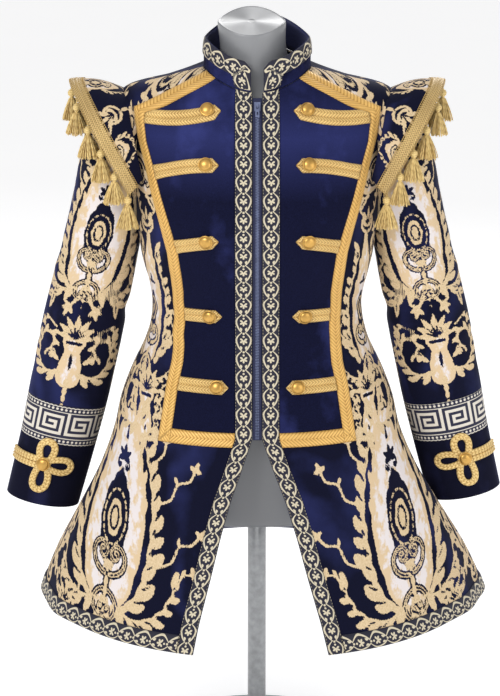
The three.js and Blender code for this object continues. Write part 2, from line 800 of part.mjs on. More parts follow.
// Frog bars of two braids side by side with a pointed end, and their buttons. Each bar bends
// where the net below it does, and its outer end follows the braid that it runs under.
function addBars() {
  BARS.forEach((bar, index) => {
    const root = columnX(BRAID_COLUMN, bar.zBraid);
    const shoulder = bar.tip + BAR_POINT;
    const bends = span(TRIM_COLUMN, BRAID_COLUMN, PLASTRON_CELLS).map((column) => columnX(column, bar.zBraid));
    const inner = bends.filter((x) => x > shoulder + BAR_POINT / 2 && x < root - BAR_POINT / 2).reverse();
    const marks = [root, ...inner, shoulder, bar.tip];
    const stops = marks.flatMap((x, k) => (k && marks[k - 1] - x > BAR_STEP ? [(marks[k - 1] + x) / 2, x] : [x]));
    for (const { name, sign } of SIDES) {
      const face = (lift, ply) => (i, j) => {
        const share = (root - stops[i]) / (root - bar.tip);
        const sag = bar.sag * Math.sin(Math.PI * share);
        const half = i === stops.length - 1 ? BAR_END_HALF : BAR_WIDTH / 2;
        const z = THREE.MathUtils.lerp(bar.zBraid, bar.z, share) - sag + (j / 2 - 1) * half;
        const x = i === 0 ? columnX(BRAID_COLUMN, z) - BAR_END_GAP : stops[i];
        return onFront(sign, x, z, lift + ply * BAR_RIDGES[j]);
      };
      const solid = wall(stops.length - 1, 4, face(BAR_LIFT, BAR_PLY), face(BAR_LIFT, 0));
      add(`bar_${index + 1}_${name}`, solid, BRAID);
      const normal = frontNormal(sign, bar.button, bar.z);
      const seat = onFront(sign, bar.button, bar.z, BAR_LIFT + BAR_PLY + SEAM_GAP);
      add(`button_${index + 1}_${name}`, button(seat, normal), METAL);
    }
  });
}

// The stand collar and the trim round its upper half
function collarPoint(turn, share, lift) {
  const skin = (a, b) => {
    const low = ringPoint(BODY[0], a);
    const high = ringPoint(COLLAR_TOP, a, COLLAR_BOW * 4 * b * (1 - b));
    return low.lerp(high, b);
  };
  const at = Math.min(Math.max(share, 0.01), 0.99);
  return skin(turn, share).addScaledVector(normalOf((a, b) => skin(a, 1 - b), turn, 1 - at), lift);
}

// Turns of the collar's columns, with one at each end as wide as its rounded corner and one
// as wide as the trim
function collarTurns() {
  const place = 0;
  const edge = Math.asin(COLLAR_GAP_HALF / COLLAR_TOP.half);
  const corner = turnFrom(place, edge, COLLAR_CORNER_WIDTH);
  const trim = turnFrom(place, edge, TRIM_WIDTH);
  const half = [edge, corner, trim];
  const middle = span(trim, 2 * Math.PI - trim, COLLAR_CELLS).slice(1, -1);
  return [...half, ...middle, ...half.map((turn) => 2 * Math.PI - turn).reverse()];
}

// The collar and its trim, which runs along the top and down both front edges
function addCollar() {
  const turns = collarTurns();
  const last = turns.length - 1;
  const shares = [COLLAR_FOOT, COLLAR_TRIM_FOOT, 1];
  const topAt = (column) => (column === 0 || column === last ? 1 - COLLAR_CORNER : 1);
  const pointAt = (low, high, foot) => (row, column, face) => {
    const share = Math.max(Math.min(shares[row], topAt(column)), foot);
    return collarPoint(turns[column], share, face ? high : low);
  };
  add("collar", cellPiece([[0, 2, 0, last]], pointAt(-WALL, 0, COLLAR_FOOT)), VELVET);
  const trim = [[0, 1, 0, 2], [0, 1, last - 2, last], [1, 2, 0, last]];
  const trimAt = pointAt(SEAM_GAP, SEAM_GAP + TRIM_PLY, COLLAR_TRIM_END);
  add("collar_trim", cellPiece(trim, trimAt), TRIM);
}

// Shoulder wing: from its seam at share 0 to its free edge at share 1, along from front -1 to back 1
function wingPoint(sign, along, share, lift) {
  const skin = (t, s) => {
    const far = (Math.hypot(t, TIP_ROUND) - TIP_ROUND) / (Math.hypot(1, TIP_ROUND) - TIP_ROUND);
    const turn = t * WING_TURN;
    const seam = new THREE.Vector3(
      WING_SEAM.x - WING_SEAM.draw * Math.abs(t) ** 1.5,
      WING_SEAM.y + WING_SEAM.halfY * Math.sin(turn),
      WING_SEAM.z + WING_SEAM.halfZ * Math.cos(turn),
    );
    const edge = new THREE.Vector3(
      WING_EDGE.x - WING_EDGE.inward * far,
      WING_EDGE.y + WING_EDGE.reach * Math.sin((t * (1 + WING_EDGE.full * (1 - Math.abs(t))) * Math.PI) / 2),
      WING_EDGE.z - WING_EDGE.fall * far,
    );
    const swell = WING_BULGE * Math.sin(Math.PI * s) * (1 - 0.7 * t * t);
    return seam.lerp(edge, s).add(new THREE.Vector3(0, swell * Math.sin(turn), swell * Math.cos(turn)));
  };
  const at = THREE.MathUtils.clamp(along, -0.99, 0.99);
  const p = skin(along, share).addScaledVector(normalOf(skin, at, share), lift);
  p.x *= sign;
  return p;
}

// Shares across the wing, with the gimp's inner edge as one of them
function wingShares(along) {
  const width = wingPoint(1, along, 0, 0).distanceTo(wingPoint(1, along, 1, 0));
  const gimp = 1 - Math.min(GIMP_WIDTH / width, 0.9);
  return [0, gimp / 2, gimp, 1];
}

function addWings() {
  const alongs = span(-1, 1, WING_CELLS);
  const shares = alongs.map(wingShares);
  for (const { name, sign } of SIDES) {
    const below = solidOf(loft(sleeveRings(sign, SLEEVE_STATIONS, SEAM_GAP))).add(bodyHalf(sign, SEAM_GAP));
    const face = (lift, skip) => (i, j) => wingPoint(sign, alongs[i], shares[i][j + skip], lift);
    const cloth = solidOf(wall(WING_CELLS, 3, face(0, 0), face(-WING_PLY, 0)));
    add(`wing_${name}`, geometryFrom(largest(cloth.subtract(below))), BROCADE);
    const gimp = solidOf(wall(WING_CELLS, 1, face(SEAM_GAP + 2, 2), face(SEAM_GAP, 2)));
    add(`wing_gimp_${name}`, geometryFrom(largest(gimp.subtract(below))), GIMP);
    add(`tassels_${name}`, tasselRow(sign, alongs), THREAD);
  }
}

// A tassel hung from a point: a stem and a head whose foot parts into separate strands
function tassel(top, seed) {
  const head = top.z - TASSEL.stem - TASSEL.head;
  const neck = head - 1.2 * TASSEL.head;
  const rings = [
    [TASSEL.stemRadius, top.z],
    [TASSEL.stemRadius, head + 0.8 * TASSEL.head],
    [TASSEL.head, head],
    [TASSEL.neck, neck],
    [TASSEL.neck + 1.2, neck - 3],
  ];
  const around = (k, reach, z) => {
    const turn = seed + (k * 2 * Math.PI) / TASSEL_STRANDS;
    return new THREE.Vector3(top.x + reach * Math.cos(turn), top.y + reach * Math.sin(turn), z);
  };
  const spokes = span(0, TASSEL_STRANDS - 1, TASSEL_STRANDS - 1);
  const points = rings.flatMap(([reach, z]) => spokes.map((k) => around(k, reach, z)));
  const triangles = [];
  const cells = TASSEL_STRANDS;
  const next = (k) => (k + 1) % cells;
  points.push(around(0, 0, top.z), around(0, 0, rings.at(-1)[1]));
  const [crown, hub] = [points.length - 2, points.length - 1];
  for (let k = 0; k < cells; k += 1) {
    triangles.push([next(k), k, crown]);
    for (let i = 0; i + 1 < rings.length; i += 1) {
      const [p, q] = [i * cells + k, i * cells + next(k)];
      triangles.push([p, q, q + cells], [p, q + cells, p + cells]);
    }
    const root = [hub, (rings.length - 1) * cells + k, (rings.length - 1) * cells + next(k)];
    const length = TASSEL.length - TASSEL.uneven * ((k * 2 + Math.round(seed * 5)) % 3);
    const foot = [[0, TASSEL.flare - TASSEL.strand], [-0.24, TASSEL.flare], [0.24, TASSEL.flare]];
    const end = foot.map(([aside, reach]) => around(k + 0.5 + aside, reach, top.z - length));
    const first = points.length;
    points.push(...end);
    for (let j = 0; j < 3; j += 1) {
      const [r0, r1] = [root[j], root[(j + 1) % 3]];
      const [e0, e1] = [first + j, first + ((j + 1) % 3)];
      triangles.push([r0, r1, e1], [r0, e1, e0]);
    }
    triangles.push([first, first + 1, first + 2]);
  }
  return geometryOf(points, triangles);
}

// The narrow strip under the wing's edge and the tassels fused to it
function tasselRow(sign, alongs) {
  const { cord, drop } = TASSEL;
  const corners = [[0, 0], [cord, 0], [cord, -cord], [0, -cord]];
  const rings = alongs.map((along) => {
    const edge = wingPoint(sign, along, 1, -drop);
    const out = edge.clone().sub(wingPoint(sign, along, 0.9, -drop)).normalize();
    const down = wingPoint(sign, along, 1, -1).sub(wingPoint(sign, along, 1, 0)).normalize();
    return corners.map(([a, b]) => edge.clone().addScaledVector(out, a - cord).addScaledVector(down, -b));
  });
  let row = solidOf(loft(rings));
  for (let k = 0; k < TASSELS_PER_WING; k += 1) {
    const along = THREE.MathUtils.lerp(-TASSEL_SPREAD, TASSEL_SPREAD, k / (TASSELS_PER_WING - 1));
    const top = wingPoint(sign, along, 1, -drop - cord / 2);
    const out = wingPoint(sign, along, 1, 0).sub(wingPoint(sign, along, 0.9, 0)).normalize();
    top.addScaledVector(out, -cord / 2);
    row = row.add(solidOf(tassel(top, TASSEL_TWIST * k)));
  }
  return geometryFrom(largest(row));
}

// A point over the cuff: across and up in millimetres from the knot's centre
function onCuff(sign, across, up, lift) {
  const station = SLEEVE.length - 1 - (KNOT.z + up - SLEEVE.at(-1).z) / (SLEEVE.at(-3).z - SLEEVE.at(-1).z) * 2;
  const at = rowAt(SLEEVE, station);
  const turn = KNOT.turn + across / ((at.halfX + at.halfY) / 2);
  return sleevePoint(sign, station, turn, lift);
}

// Strip of cord over the cuff along a path of [across, up] points
function cuffStrip(sign, path, half, low, high) {
  const face = (lift) => (i, j) => {
    const before = path[Math.max(i - 1, 0)];
    const after = path[Math.min(i + 1, path.length - 1)];
    const run = Math.hypot(after[0] - before[0], after[1] - before[1]);
    const aside = (j === 0 ? -1 : 1) * half;
    const across = path[i][0] - (aside * (after[1] - before[1])) / run;
    const up = path[i][1] + (aside * (after[0] - before[0])) / run;
    return onCuff(sign, across, up, lift);
  };
  return wall(path.length - 1, 1, face(high), face(low));
}

// Knot of three loops and a double bar that runs round to the outer side, with its button
function addKnots() {
  const steps = 6;
  for (const { name, sign } of SIDES) {
    const strips = [-90, 180, 90].map((lean, k) => {
      const heading = degrees(lean);
      const path = span(-1, 1, steps).map((t) => {
        const along = KNOT.reach[k] * Math.cos((t * Math.PI) / 2);
        const aside = KNOT.swell * Math.sin(t * Math.PI) + KNOT.part * t;
        return [
          along * Math.cos(heading) - aside * Math.sin(heading),
          along * Math.sin(heading) + aside * Math.cos(heading),
        ];
      });
      const low = KNOT.lift + k * KNOT.step;
      return cuffStrip(sign, path, KNOT.wide / 2, low, low + KNOT.ply);
    });
    const top = KNOT.lift + 3 * KNOT.step + KNOT.ply;
    strips.push(cuffStrip(sign, span(-4, KNOT.bar, 6).map((x) => [x, 0]), KNOT.wide, KNOT.lift + KNOT.step / 2, top));
    const seat = onCuff(sign, 0, 0, KNOT.lift);
    const normal = onCuff(sign, 0, 0, KNOT.lift + 1).sub(seat).normalize();
    const hub = new THREE.CylinderGeometry(KNOT.wide, KNOT.wide, top + KNOT.step - KNOT.lift, 8);
    hub.translate(0, (top + KNOT.step - KNOT.lift) / 2, 0);
    hub.applyQuaternion(new THREE.Quaternion().setFromUnitVectors(new THREE.Vector3(0, 1, 0), normal));
    hub.translate(seat.x, seat.y, seat.z);
    add(`cuff_knot_${name}`, geometryFrom(union([...strips, hub])), BRAID);
    const crown = seat.clone().addScaledVector(normal, top + KNOT.step - KNOT.lift + SEAM_GAP);
    add(`cuff_button_${name}`, button(crown, normal), METAL);
  }
}

// Zip tape between the fronts, its slider and the pull tab that hangs from it
function addZip() {
  const places = span(placeAtHeight(ZIP_TOP, 0), placeAtHeight(ZIP_END, 0), TAPE_CELLS);
  const face = (lift) => (i, j) => {
    const p = bodyPoint(0, places[i], lift);
    p.x = (j - 0.5) * 2 * (ZIP_HALF - SEAM_GAP);
    return p;
  };
  add("zip_tape", wall(TAPE_CELLS, 1, face(TAPE_TOP), face(TAPE_FOOT)), TAPE);

  const seat = bodyPoint(0, placeAtHeight(SLIDER.z, 0), 0);
  const lean = Math.atan2(seat.y - bodyPoint(0, placeAtHeight(SLIDER.z - 20, 0), 0).y, 20);
  const box = (x, y, z, [cx, cy, cz]) => solidOf(new THREE.BoxGeometry(x, y, z).translate(cx, cy, cz));
  const body = box(2 * SLIDER.half, SLIDER.ply, SLIDER.tall, [0, -SLIDER.seat, 0]);
  const hinge = new THREE.Vector3(0, -SLIDER.seat - SLIDER.hinge, SLIDER.hingeRise);
  const eye = 2 * (PULL.pin + PULL.play);
  const bridge = box(2 * SLIDER.bridgeHalf, SLIDER.bridgeDeep, SLIDER.bridgeTall, [0, hinge.y + 0.3, hinge.z])
    .subtract(box(2 * PULL.half, eye, eye, hinge.toArray()));
  const pin = new THREE.CylinderGeometry(PULL.pin, PULL.pin, 2 * PULL.half, 8).rotateZ(Math.PI / 2);
  const rod = solidOf(pin.translate(...hinge));
  const armAt = (s) => [s * (PULL.half - PULL.arm / 2), hinge.y, hinge.z - PULL.armDrop];
  const arms = [-1, 1].map((s) => box(PULL.arm, PULL.ply, PULL.armTall, armAt(s)));
  const plateTall = PULL.tall - PULL.plateDrop;
  const plateMiddle = [0, hinge.y, hinge.z - PULL.plateDrop - plateTall / 2];
  const plate = box(2 * PULL.half, PULL.ply, plateTall, plateMiddle);
  const holeMiddle = [0, hinge.y, hinge.z - PULL.tall + PULL.holeTall];
  const hole = box(2 * PULL.holeHalf, 2 * PULL.ply, PULL.holeTall, holeMiddle);
  const pull = rod.add(arms[0]).add(arms[1]).add(plate).subtract(hole);
  const place = (solid) => geometryFrom(solid).rotateX(-lean).translate(seat.x, seat.y, seat.z);
  add("zip_slider", place(body.add(bridge)), ZIP_METAL);
  add("zip_pull", place(pull), ZIP_METAL);
}

// The limbless dress form that the jacket rests on, and its low stand
function addForm() {
  const turns = span(0, 2 * Math.PI, FORM_SIDES).slice(0, -1);
  const rings = FORM.map((ring) => turns.map((turn) => ringPoint(ring, turn)));
  add("form_torso", loft(rings), FORM_GREY);
  const floor = -STAND_RISE;
  const post = [
    [0, floor + BASE_THICK + SEAM_GAP],
    [POST_RADIUS, floor + BASE_THICK + SEAM_GAP],
    [POST_RADIUS, FORM_FOOT - 14],
    [POST_FLANGE, FORM_FOOT - 8],
    [POST_FLANGE, FORM_FOOT - SEAM_GAP],
    [0, FORM_FOOT - SEAM_GAP],
  ].map(([r, z]) => new THREE.Vector2(r, z));
  const base = [
    [0, floor],
    [BASE_RADIUS - 2, floor],
    [BASE_RADIUS, floor + 2],
    [BASE_RADIUS, floor + 6],
    [BASE_RADIUS - 10, floor + 9],
    [30, floor + BASE_THICK],
    [0, floor + BASE_THICK],
  ].map(([r, z]) => new THREE.Vector2(r, z));
  const lathe = (profile, sides) => {
    const turned = new THREE.LatheGeometry(profile, sides).rotateX(Math.PI / 2);
    return geometryFrom(solidOf(turned));
  };
  add("form_post", lathe(post, 12), STAND_GREY);
  add("form_base", lathe(base, 28), STAND_GREY);
}

addCloth();
addFacings();
addBars();
addCollar();
addWings();
addKnots();
addZip();
addForm();

export default jacket;
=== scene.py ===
"""A frogged stage jacket of velvet and brocade on a limbless dress form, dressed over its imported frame."""
import logging
import math
from dataclasses import dataclass, field
from enum import Enum
from functools import cache
from typing import Callable, Sequence

import bpy
import numpy as np
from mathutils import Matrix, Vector
from mathutils.bvhtree import BVHTree


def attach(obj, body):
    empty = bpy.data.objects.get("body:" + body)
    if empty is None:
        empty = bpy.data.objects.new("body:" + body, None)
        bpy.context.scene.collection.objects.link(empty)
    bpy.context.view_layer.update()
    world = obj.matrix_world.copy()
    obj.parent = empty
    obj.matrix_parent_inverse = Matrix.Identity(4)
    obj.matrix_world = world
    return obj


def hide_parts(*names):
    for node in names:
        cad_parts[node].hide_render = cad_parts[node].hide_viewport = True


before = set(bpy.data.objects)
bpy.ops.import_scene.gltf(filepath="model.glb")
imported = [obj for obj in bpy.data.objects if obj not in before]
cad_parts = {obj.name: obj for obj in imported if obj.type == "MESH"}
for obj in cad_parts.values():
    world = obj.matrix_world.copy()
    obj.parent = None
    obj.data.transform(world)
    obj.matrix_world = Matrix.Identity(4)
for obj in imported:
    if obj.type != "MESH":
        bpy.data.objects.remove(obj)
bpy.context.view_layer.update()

MM = 0.001
# How far the tables' heights are lifted, in millimetres, so that the stand's foot is at nought
RISE = 50.0
# Fine cells to a coarse one in thin ribbons
STEP = 4
# Half of the gap at the centre-back seam, as a turn
SEAM_TURN = 0.0006
GOLDEN_ANGLE = 2.399963
JACKET = "jacket"
LOG = logging.getLogger("jacket")
Array = np.ndarray
Colour = tuple[float, float, float]
Skin = Callable[[Array, Array], Array]
Line = Sequence[Sequence[float]]
Faces = list[list[int]]
Solid = tuple[Array, Faces]
Piece = bpy.types.Object
Material = bpy.types.Material
Socket = bpy.types.NodeSocket
NodeTree = bpy.types.NodeTree
Node = bpy.types.Node


class Side(Enum):
    """A side of the jacket, by its sign along X."""

    LEFT = -1
    RIGHT = 1

    @property
    def tag(self) -> str:
        """The side's word in the names of pieces."""
        return self.name.lower()


class Layer(Enum):
    """Thread layers of the brocade, from the lowest to the one woven over the others."""

    FIELD = "ivory"
    SHADE = "shade"
    RAISED = "beige"
    LINE = "line"


# Surfaces


def blend_rows(rows: Array, place: Array) -> Array:
    """Read a smooth curve through a table's rows.

    Args:
        rows: Table of numbers, one row a station.
        place: Places between the rows, of any shape.

    Returns:
        The row of numbers at each place.
    """
    last = len(rows) - 1
    k = np.clip(np.floor(place).astype(int), 0, last - 1)
    t = (place - k)[..., None]
    a, b = rows[np.clip(k - 1, 0, last)], rows[k]
    c, d = rows[k + 1], rows[np.clip(k + 2, 0, last)]
    slope_in, slope_out, rise = (c - a) / 2, (d - b) / 2, c - b
    bend, twist = 3 * rise - 2 * slope_in - slope_out, slope_in + slope_out - 2 * rise
    return b + t * (slope_in + t * (bend + t * twist))


def bump(away: Array, wide: Array | float) -> Array:
    """A soft hump, one at its middle."""
    return np.exp(-((away / wide) ** 2))


def turn_between(a: Array, b: Array | float) -> Array:
    """The difference of two turns, between minus and plus half a turn."""
    return np.mod(a - b + math.pi, 2 * math.pi) - math.pi


def smoothstep(x: Array, low: Array | float, high: Array | float) -> Array:
    """A soft step from nought at low to one at high."""
    t = np.clip((x - low) / (np.asarray(high) - low), 0, 1)
    return t * t * (3 - 2 * t)


def ring_point(ring: Array, turn: Array, out: Array | float = 0.0) -> Array:
    """Find points of rounded rings.

    Args:
        ring: Heights at front, side and back, half width, depths of front, side and back, power, middle.
        turn: Turn from centre front, positive towards +X.
        out: How far the cloth stands out of the ring.

    Returns:
        Points in millimetres.
    """
    z_front, z_side, z_back, half, front, side, back, power, mid = np.moveaxis(ring, -1, 0)
    s, c = np.sin(turn), np.cos(turn)
    reach = (np.abs(s) ** power + np.abs(c) ** power) ** (-1 / power)
    share = np.abs(reach * c)
    towards = np.where(c > 0, front, back)
    z_towards = np.where(c > 0, z_front, z_back)
    return np.stack([
        mid + half * reach * s + out * s,
        side + (towards - side) * share - out * c,
        z_side + (z_towards - z_side) * share * share,
    ], axis=-1)


def unit(vectors: Array) -> Array:
    """Vectors cut to a length of one."""
    return vectors / np.maximum(np.linalg.norm(vectors, axis=-1, keepdims=True), 1e-9)


def lifted(skin: Skin, a: Array, b: Array, lift: Array | float, low: float, high: float) -> Array:
    """Points of a surface moved out along its normal.

    Args:
        skin: The surface, as a function of two numbers.
        a: First number of each point.
        b: Second number of each point.
        lift: How far each point moves out, in millimetres.
        low: Least second number that the normal is read at.
        high: Greatest second number that the normal is read at.

    Returns:
        The moved points.
    """
    step, at = 0.004, np.clip(b, low, high)
    along_a = skin(a + step, at) - skin(a - step, at)
    along_b = skin(a, at + step) - skin(a, at - step)
    normal = unit(np.cross(along_b, along_a))
    return skin(a, b) + normal * np.asarray(lift, dtype=float)[..., None]


def pairs(rows: Line) -> Array:
    """A table of numbers."""
    return np.array(rows, dtype=float)


@dataclass(frozen=True)
class BodySurface:
    """The cloth surface of the jacket's fronts and back, from the neckline to the hem."""

    rings: Array = field(default_factory=lambda: pairs([
        [996, 1024, 1050, 78, -66, 4, 66, 2.0, 0], [974, 1008, 1018, 138, -78, 9, 84, 2.0, 0],
        [940, 989, 992, 197, -94, 14, 100, 2.0, 0], [895, 935, 942, 191, -112, 12, 108, 2.1, 0],
        [850, 868, 880, 183, -130, 8, 110, 2.2, 0], [805, 808, 812, 178, -139, 3, 106, 2.2, 0],
        [750, 750, 750, 171, -127, 0, 98, 2.2, 0], [705, 705, 705, 160, -114, 0, 89, 2.15, 0],
        [665, 665, 665, 156, -108, 0, 84, 2.1, 0], [620, 620, 620, 166, -115, 0, 98, 2.1, 0],
        [575, 575, 575, 187, -127, 0, 118, 2.1, 0], [530, 530, 530, 205, -141, 0, 142, 2.1, 0],
        [485, 485, 485, 218, -158, 0, 166, 2.1, 0], [430, 431, 431, 243, -183, 2, 194, 2.1, 1],
        [370, 374, 372, 275, -209, 4, 224, 2.1, 2], [310, 317, 313, 303, -233, 8, 250, 2.1, 3],
        [255, 265, 258, 322, -254, 12, 271, 2.1, 4], [212, 225, 215, 335, -269, 16, 284, 2.1, 5],
    ]))
    folds: Array = field(default_factory=lambda: pairs([
        [66, 7, 7, 470], [83, 10, 12, 520], [99, 9, -14, 560], [116, 8, 12, 540], [133, 8, -9, 480],
        [148, 8, 10, 520], [164, 7, -8, 460], [-63, 7, 6, 450], [-83, 10, 3, 530], [-99, 9, -14, 560],
        [-118, 8, 11, 520], [-134, 7, -8, 470], [-150, 9, 11, 530], [-166, 7, -7, 450],
    ]))
    # Soft pulls of the worn cloth: height, tall, deep, turn and width in degrees
    pulls: Array = field(default_factory=lambda: pairs([
        [690, 9, -1.5, 58, 26], [668, 8, 1.2, 64, 22], [640, 10, -1.6, 52, 30], [722, 10, 1.2, 70, 24],
        [838, 16, 1.6, 24, 13], [742, 22, -1.1, 20, 10], [610, 18, 1.1, 22, 12], [700, 10, -1.4, -60, 24],
        [655, 9, 1.3, -56, 26], [628, 10, -1.5, -66, 22], [760, 20, 1.2, -22, 11], [858, 18, -1.2, -26, 12],
        [690, 9, -1.5, 150, 30], [660, 10, 1.4, -150, 30], [725, 12, 1.2, 175, 30], [905, 16, -1.6, 128, 16],
        [905, 16, -1.6, -126, 16], [640, 9, -1.2, 118, 22], [645, 9, -1.2, -118, 22],
    ]))
    dent: tuple[float, float, float, float, float] = (97, 15, 378, 88, -26)
    hem: float = 212
    opening: Array = field(default_factory=lambda: pairs([
        [503, 7.2], [465, 22], [420, 41], [372, 57], [317, 73], [255, 92], [212, 103],
    ]))
    braid_line: Array = field(default_factory=lambda: pairs([
        [972, 178], [930, 172], [897, 163], [852, 152], [806, 139], [770, 130], [711, 123], [664, 121],
        [634, 122], [604, 125], [570, 133], [492, 145],
    ]))
    neck_turn: float = math.radians(71)
    trim_wide: float = 25
    braid_wide: float = 20

    @property
    def last(self) -> float:
        """Place of the hem."""
        return len(self.rings) - 1.0

    def fold_out(self, turn: Array, z: Array) -> Array:
        """How far folds, cuff hollows and pulls move the cloth out at a turn and height.

        Args:
            turn: Turn of each point.
            z: Height of each point.

        Returns:
            The distance out of the plain ring.
        """
        out = np.zeros(np.broadcast(turn, z).shape)
        for at, wide, deep, start in self.folds:
            fade = smoothstep(start - z, 0.0, start - self.hem)
            out = out + deep * fade * bump(turn_between(turn, math.radians(at)), math.radians(wide))
        at, wide, z_mid, tall, deep = self.dent
        both = sum(bump(turn_between(turn, s * math.radians(at)), math.radians(wide)) for s in (1, -1))
        out = out + deep * both * bump(z - z_mid, tall)
        for z_mid, tall, deep, at, wide in self.pulls:
            across = turn_between(turn, math.radians(at))
            slant = z - z_mid + 26 * across
            out = out + deep * bump(across, math.radians(wide)) * bump(slant, tall)
        return out

    def skin(self, turn: Array, place: Array) -> Array:
        """Points of the cloth's outer face."""
        ring = blend_rows(self.rings, place)
        return ring_point(ring, turn, self.fold_out(turn, ring[..., 1]))

    def point(self, turn: Array, place: Array, lift: Array | float = 0.0) -> Array:
        """Points at a height above the cloth."""
        turn, place = np.broadcast_arrays(np.asarray(turn, float), np.asarray(place, float))
        return lifted(self.skin, turn, place, lift, 0.01, self.last - 0.01)

    def places(self, count: int, high: float | None = None) -> Array:
        """Places evenly spaced along the cloth.

        Args:
            count: How many places.
            high: Last place, the hem where none is given.

        Returns:
            The places, from the neckline down.
        """
        fine = np.linspace(0.0, self.last if high is None else high, 1200)
        run = run_of(self.skin(np.full_like(fine, math.pi / 4), fine))
        return np.interp(np.linspace(0, run[-1], count), run, fine)

    def place_at(self, z: float, turn: float = math.pi / 2) -> float:
        """The place between rings whose height at a turn is z."""
        fine = np.linspace(0, self.last, 6000)
        return float(np.interp(-z, -self.skin(np.full_like(fine, turn), fine)[:, 2], fine))

    def marks(self, places: Array) -> dict[str, Array]:
        """Turns of the lines that divide a front.

        Args:
            places: The rows to read.

        Returns:
            Turns of the front edge, the trim's and the braid's inner edge and the braid's outer edge,
            with the length along each ring from centre front, read on a fine table of turns.
        """
        turns = np.linspace(0, math.pi, 1441)
        grid = self.skin(turns[None, :], places[:, None])
        run = np.concatenate([np.zeros((len(places), 1)), np.cumsum(
            np.linalg.norm(np.diff(grid, axis=1), axis=2), axis=1)], axis=1)
        quarter = 721
        spots = self.spot(np.array([self.braid_line[0, 1]]), np.array([self.braid_line[0, 0]]))
        corner_turn, corner_place = float(spots[0][0]), float(spots[1][0])
        start = self.skin(np.array(self.neck_turn), np.array(0.0))
        end = self.braid_line[0, [1, 0]]
        edge, trim, inner, outer = (np.zeros(len(places)) for _ in range(4))
        for i, place in enumerate(places):
            x, z = grid[i, :quarter, 0], grid[i, :quarter, 2]
            gap = np.interp(-grid[i, 0, 2], -self.opening[:, 0], self.opening[:, 1])
            edge[i] = np.interp(gap, x, turns[:quarter])
            if place <= corner_place:
                beyond = (x - start[0]) * (end[1] - start[2]) - (z - start[2]) * (end[0] - start[0])
                guess = self.neck_turn + (corner_turn - self.neck_turn) * place / corner_place
                near = np.abs(turns[:quarter] - guess) < 0.25
                outer[i] = np.interp(0.0, -beyond[near], turns[:quarter][near])
            else:
                turn = corner_turn
                for _ in range(6):
                    height = np.interp(turn, turns[:quarter], z)
                    reach = np.interp(-height, -self.braid_line[:, 0], self.braid_line[:, 1])
                    turn = np.interp(reach, x, turns[:quarter])
                outer[i] = turn
            trim[i] = np.interp(np.interp(edge[i], turns, run[i]) + self.trim_wide, run[i], turns)
            wide = np.interp(place - corner_place, [-0.5, 0.0, 0.3], [27.0, 24.0, self.braid_wide])
            inner[i] = np.interp(np.interp(outer[i], turns, run[i]) - wide, run[i], turns)
        return {"edge": edge, "trim": trim, "inner": inner, "outer": outer, "turns": turns, "run": run}

    def spot(self, x: Array, z: Array) -> tuple[Array, Array]:
        """Find the turn and place of points of the right front.

        Args:
            x: Distances from the centre line.
            z: Heights.

        Returns:
            Turns and places.
        """
        fine = np.linspace(0, self.last, 2400)
        turn = np.arcsin(np.clip(np.asarray(x, float) / 210, -0.95, 0.95))
        place = np.interp(-np.asarray(z, float), -self.skin(np.full_like(fine, 0.3), fine)[:, 2], fine)
        for _ in range(24):
            here = self.skin(turn, place)
            by_turn = (self.skin(turn + 1e-3, place) - here) / 1e-3
            by_place = (self.skin(turn, place + 1e-3) - here) / 1e-3
            miss_x, miss_z = x - here[..., 0], z - here[..., 2]
            whole = by_turn[..., 0] * by_place[..., 2] - by_place[..., 0] * by_turn[..., 2]
            step_turn = (miss_x * by_place[..., 2] - by_place[..., 0] * miss_z) / whole
            step_place = (by_turn[..., 0] * miss_z - miss_x * by_turn[..., 2]) / whole
            turn = np.clip(turn + np.clip(step_turn, -0.1, 0.1), 0.0, 1.5)
            place = np.clip(place + np.clip(step_place, -0.5, 0.5), 0.0, self.last)
        return turn, place


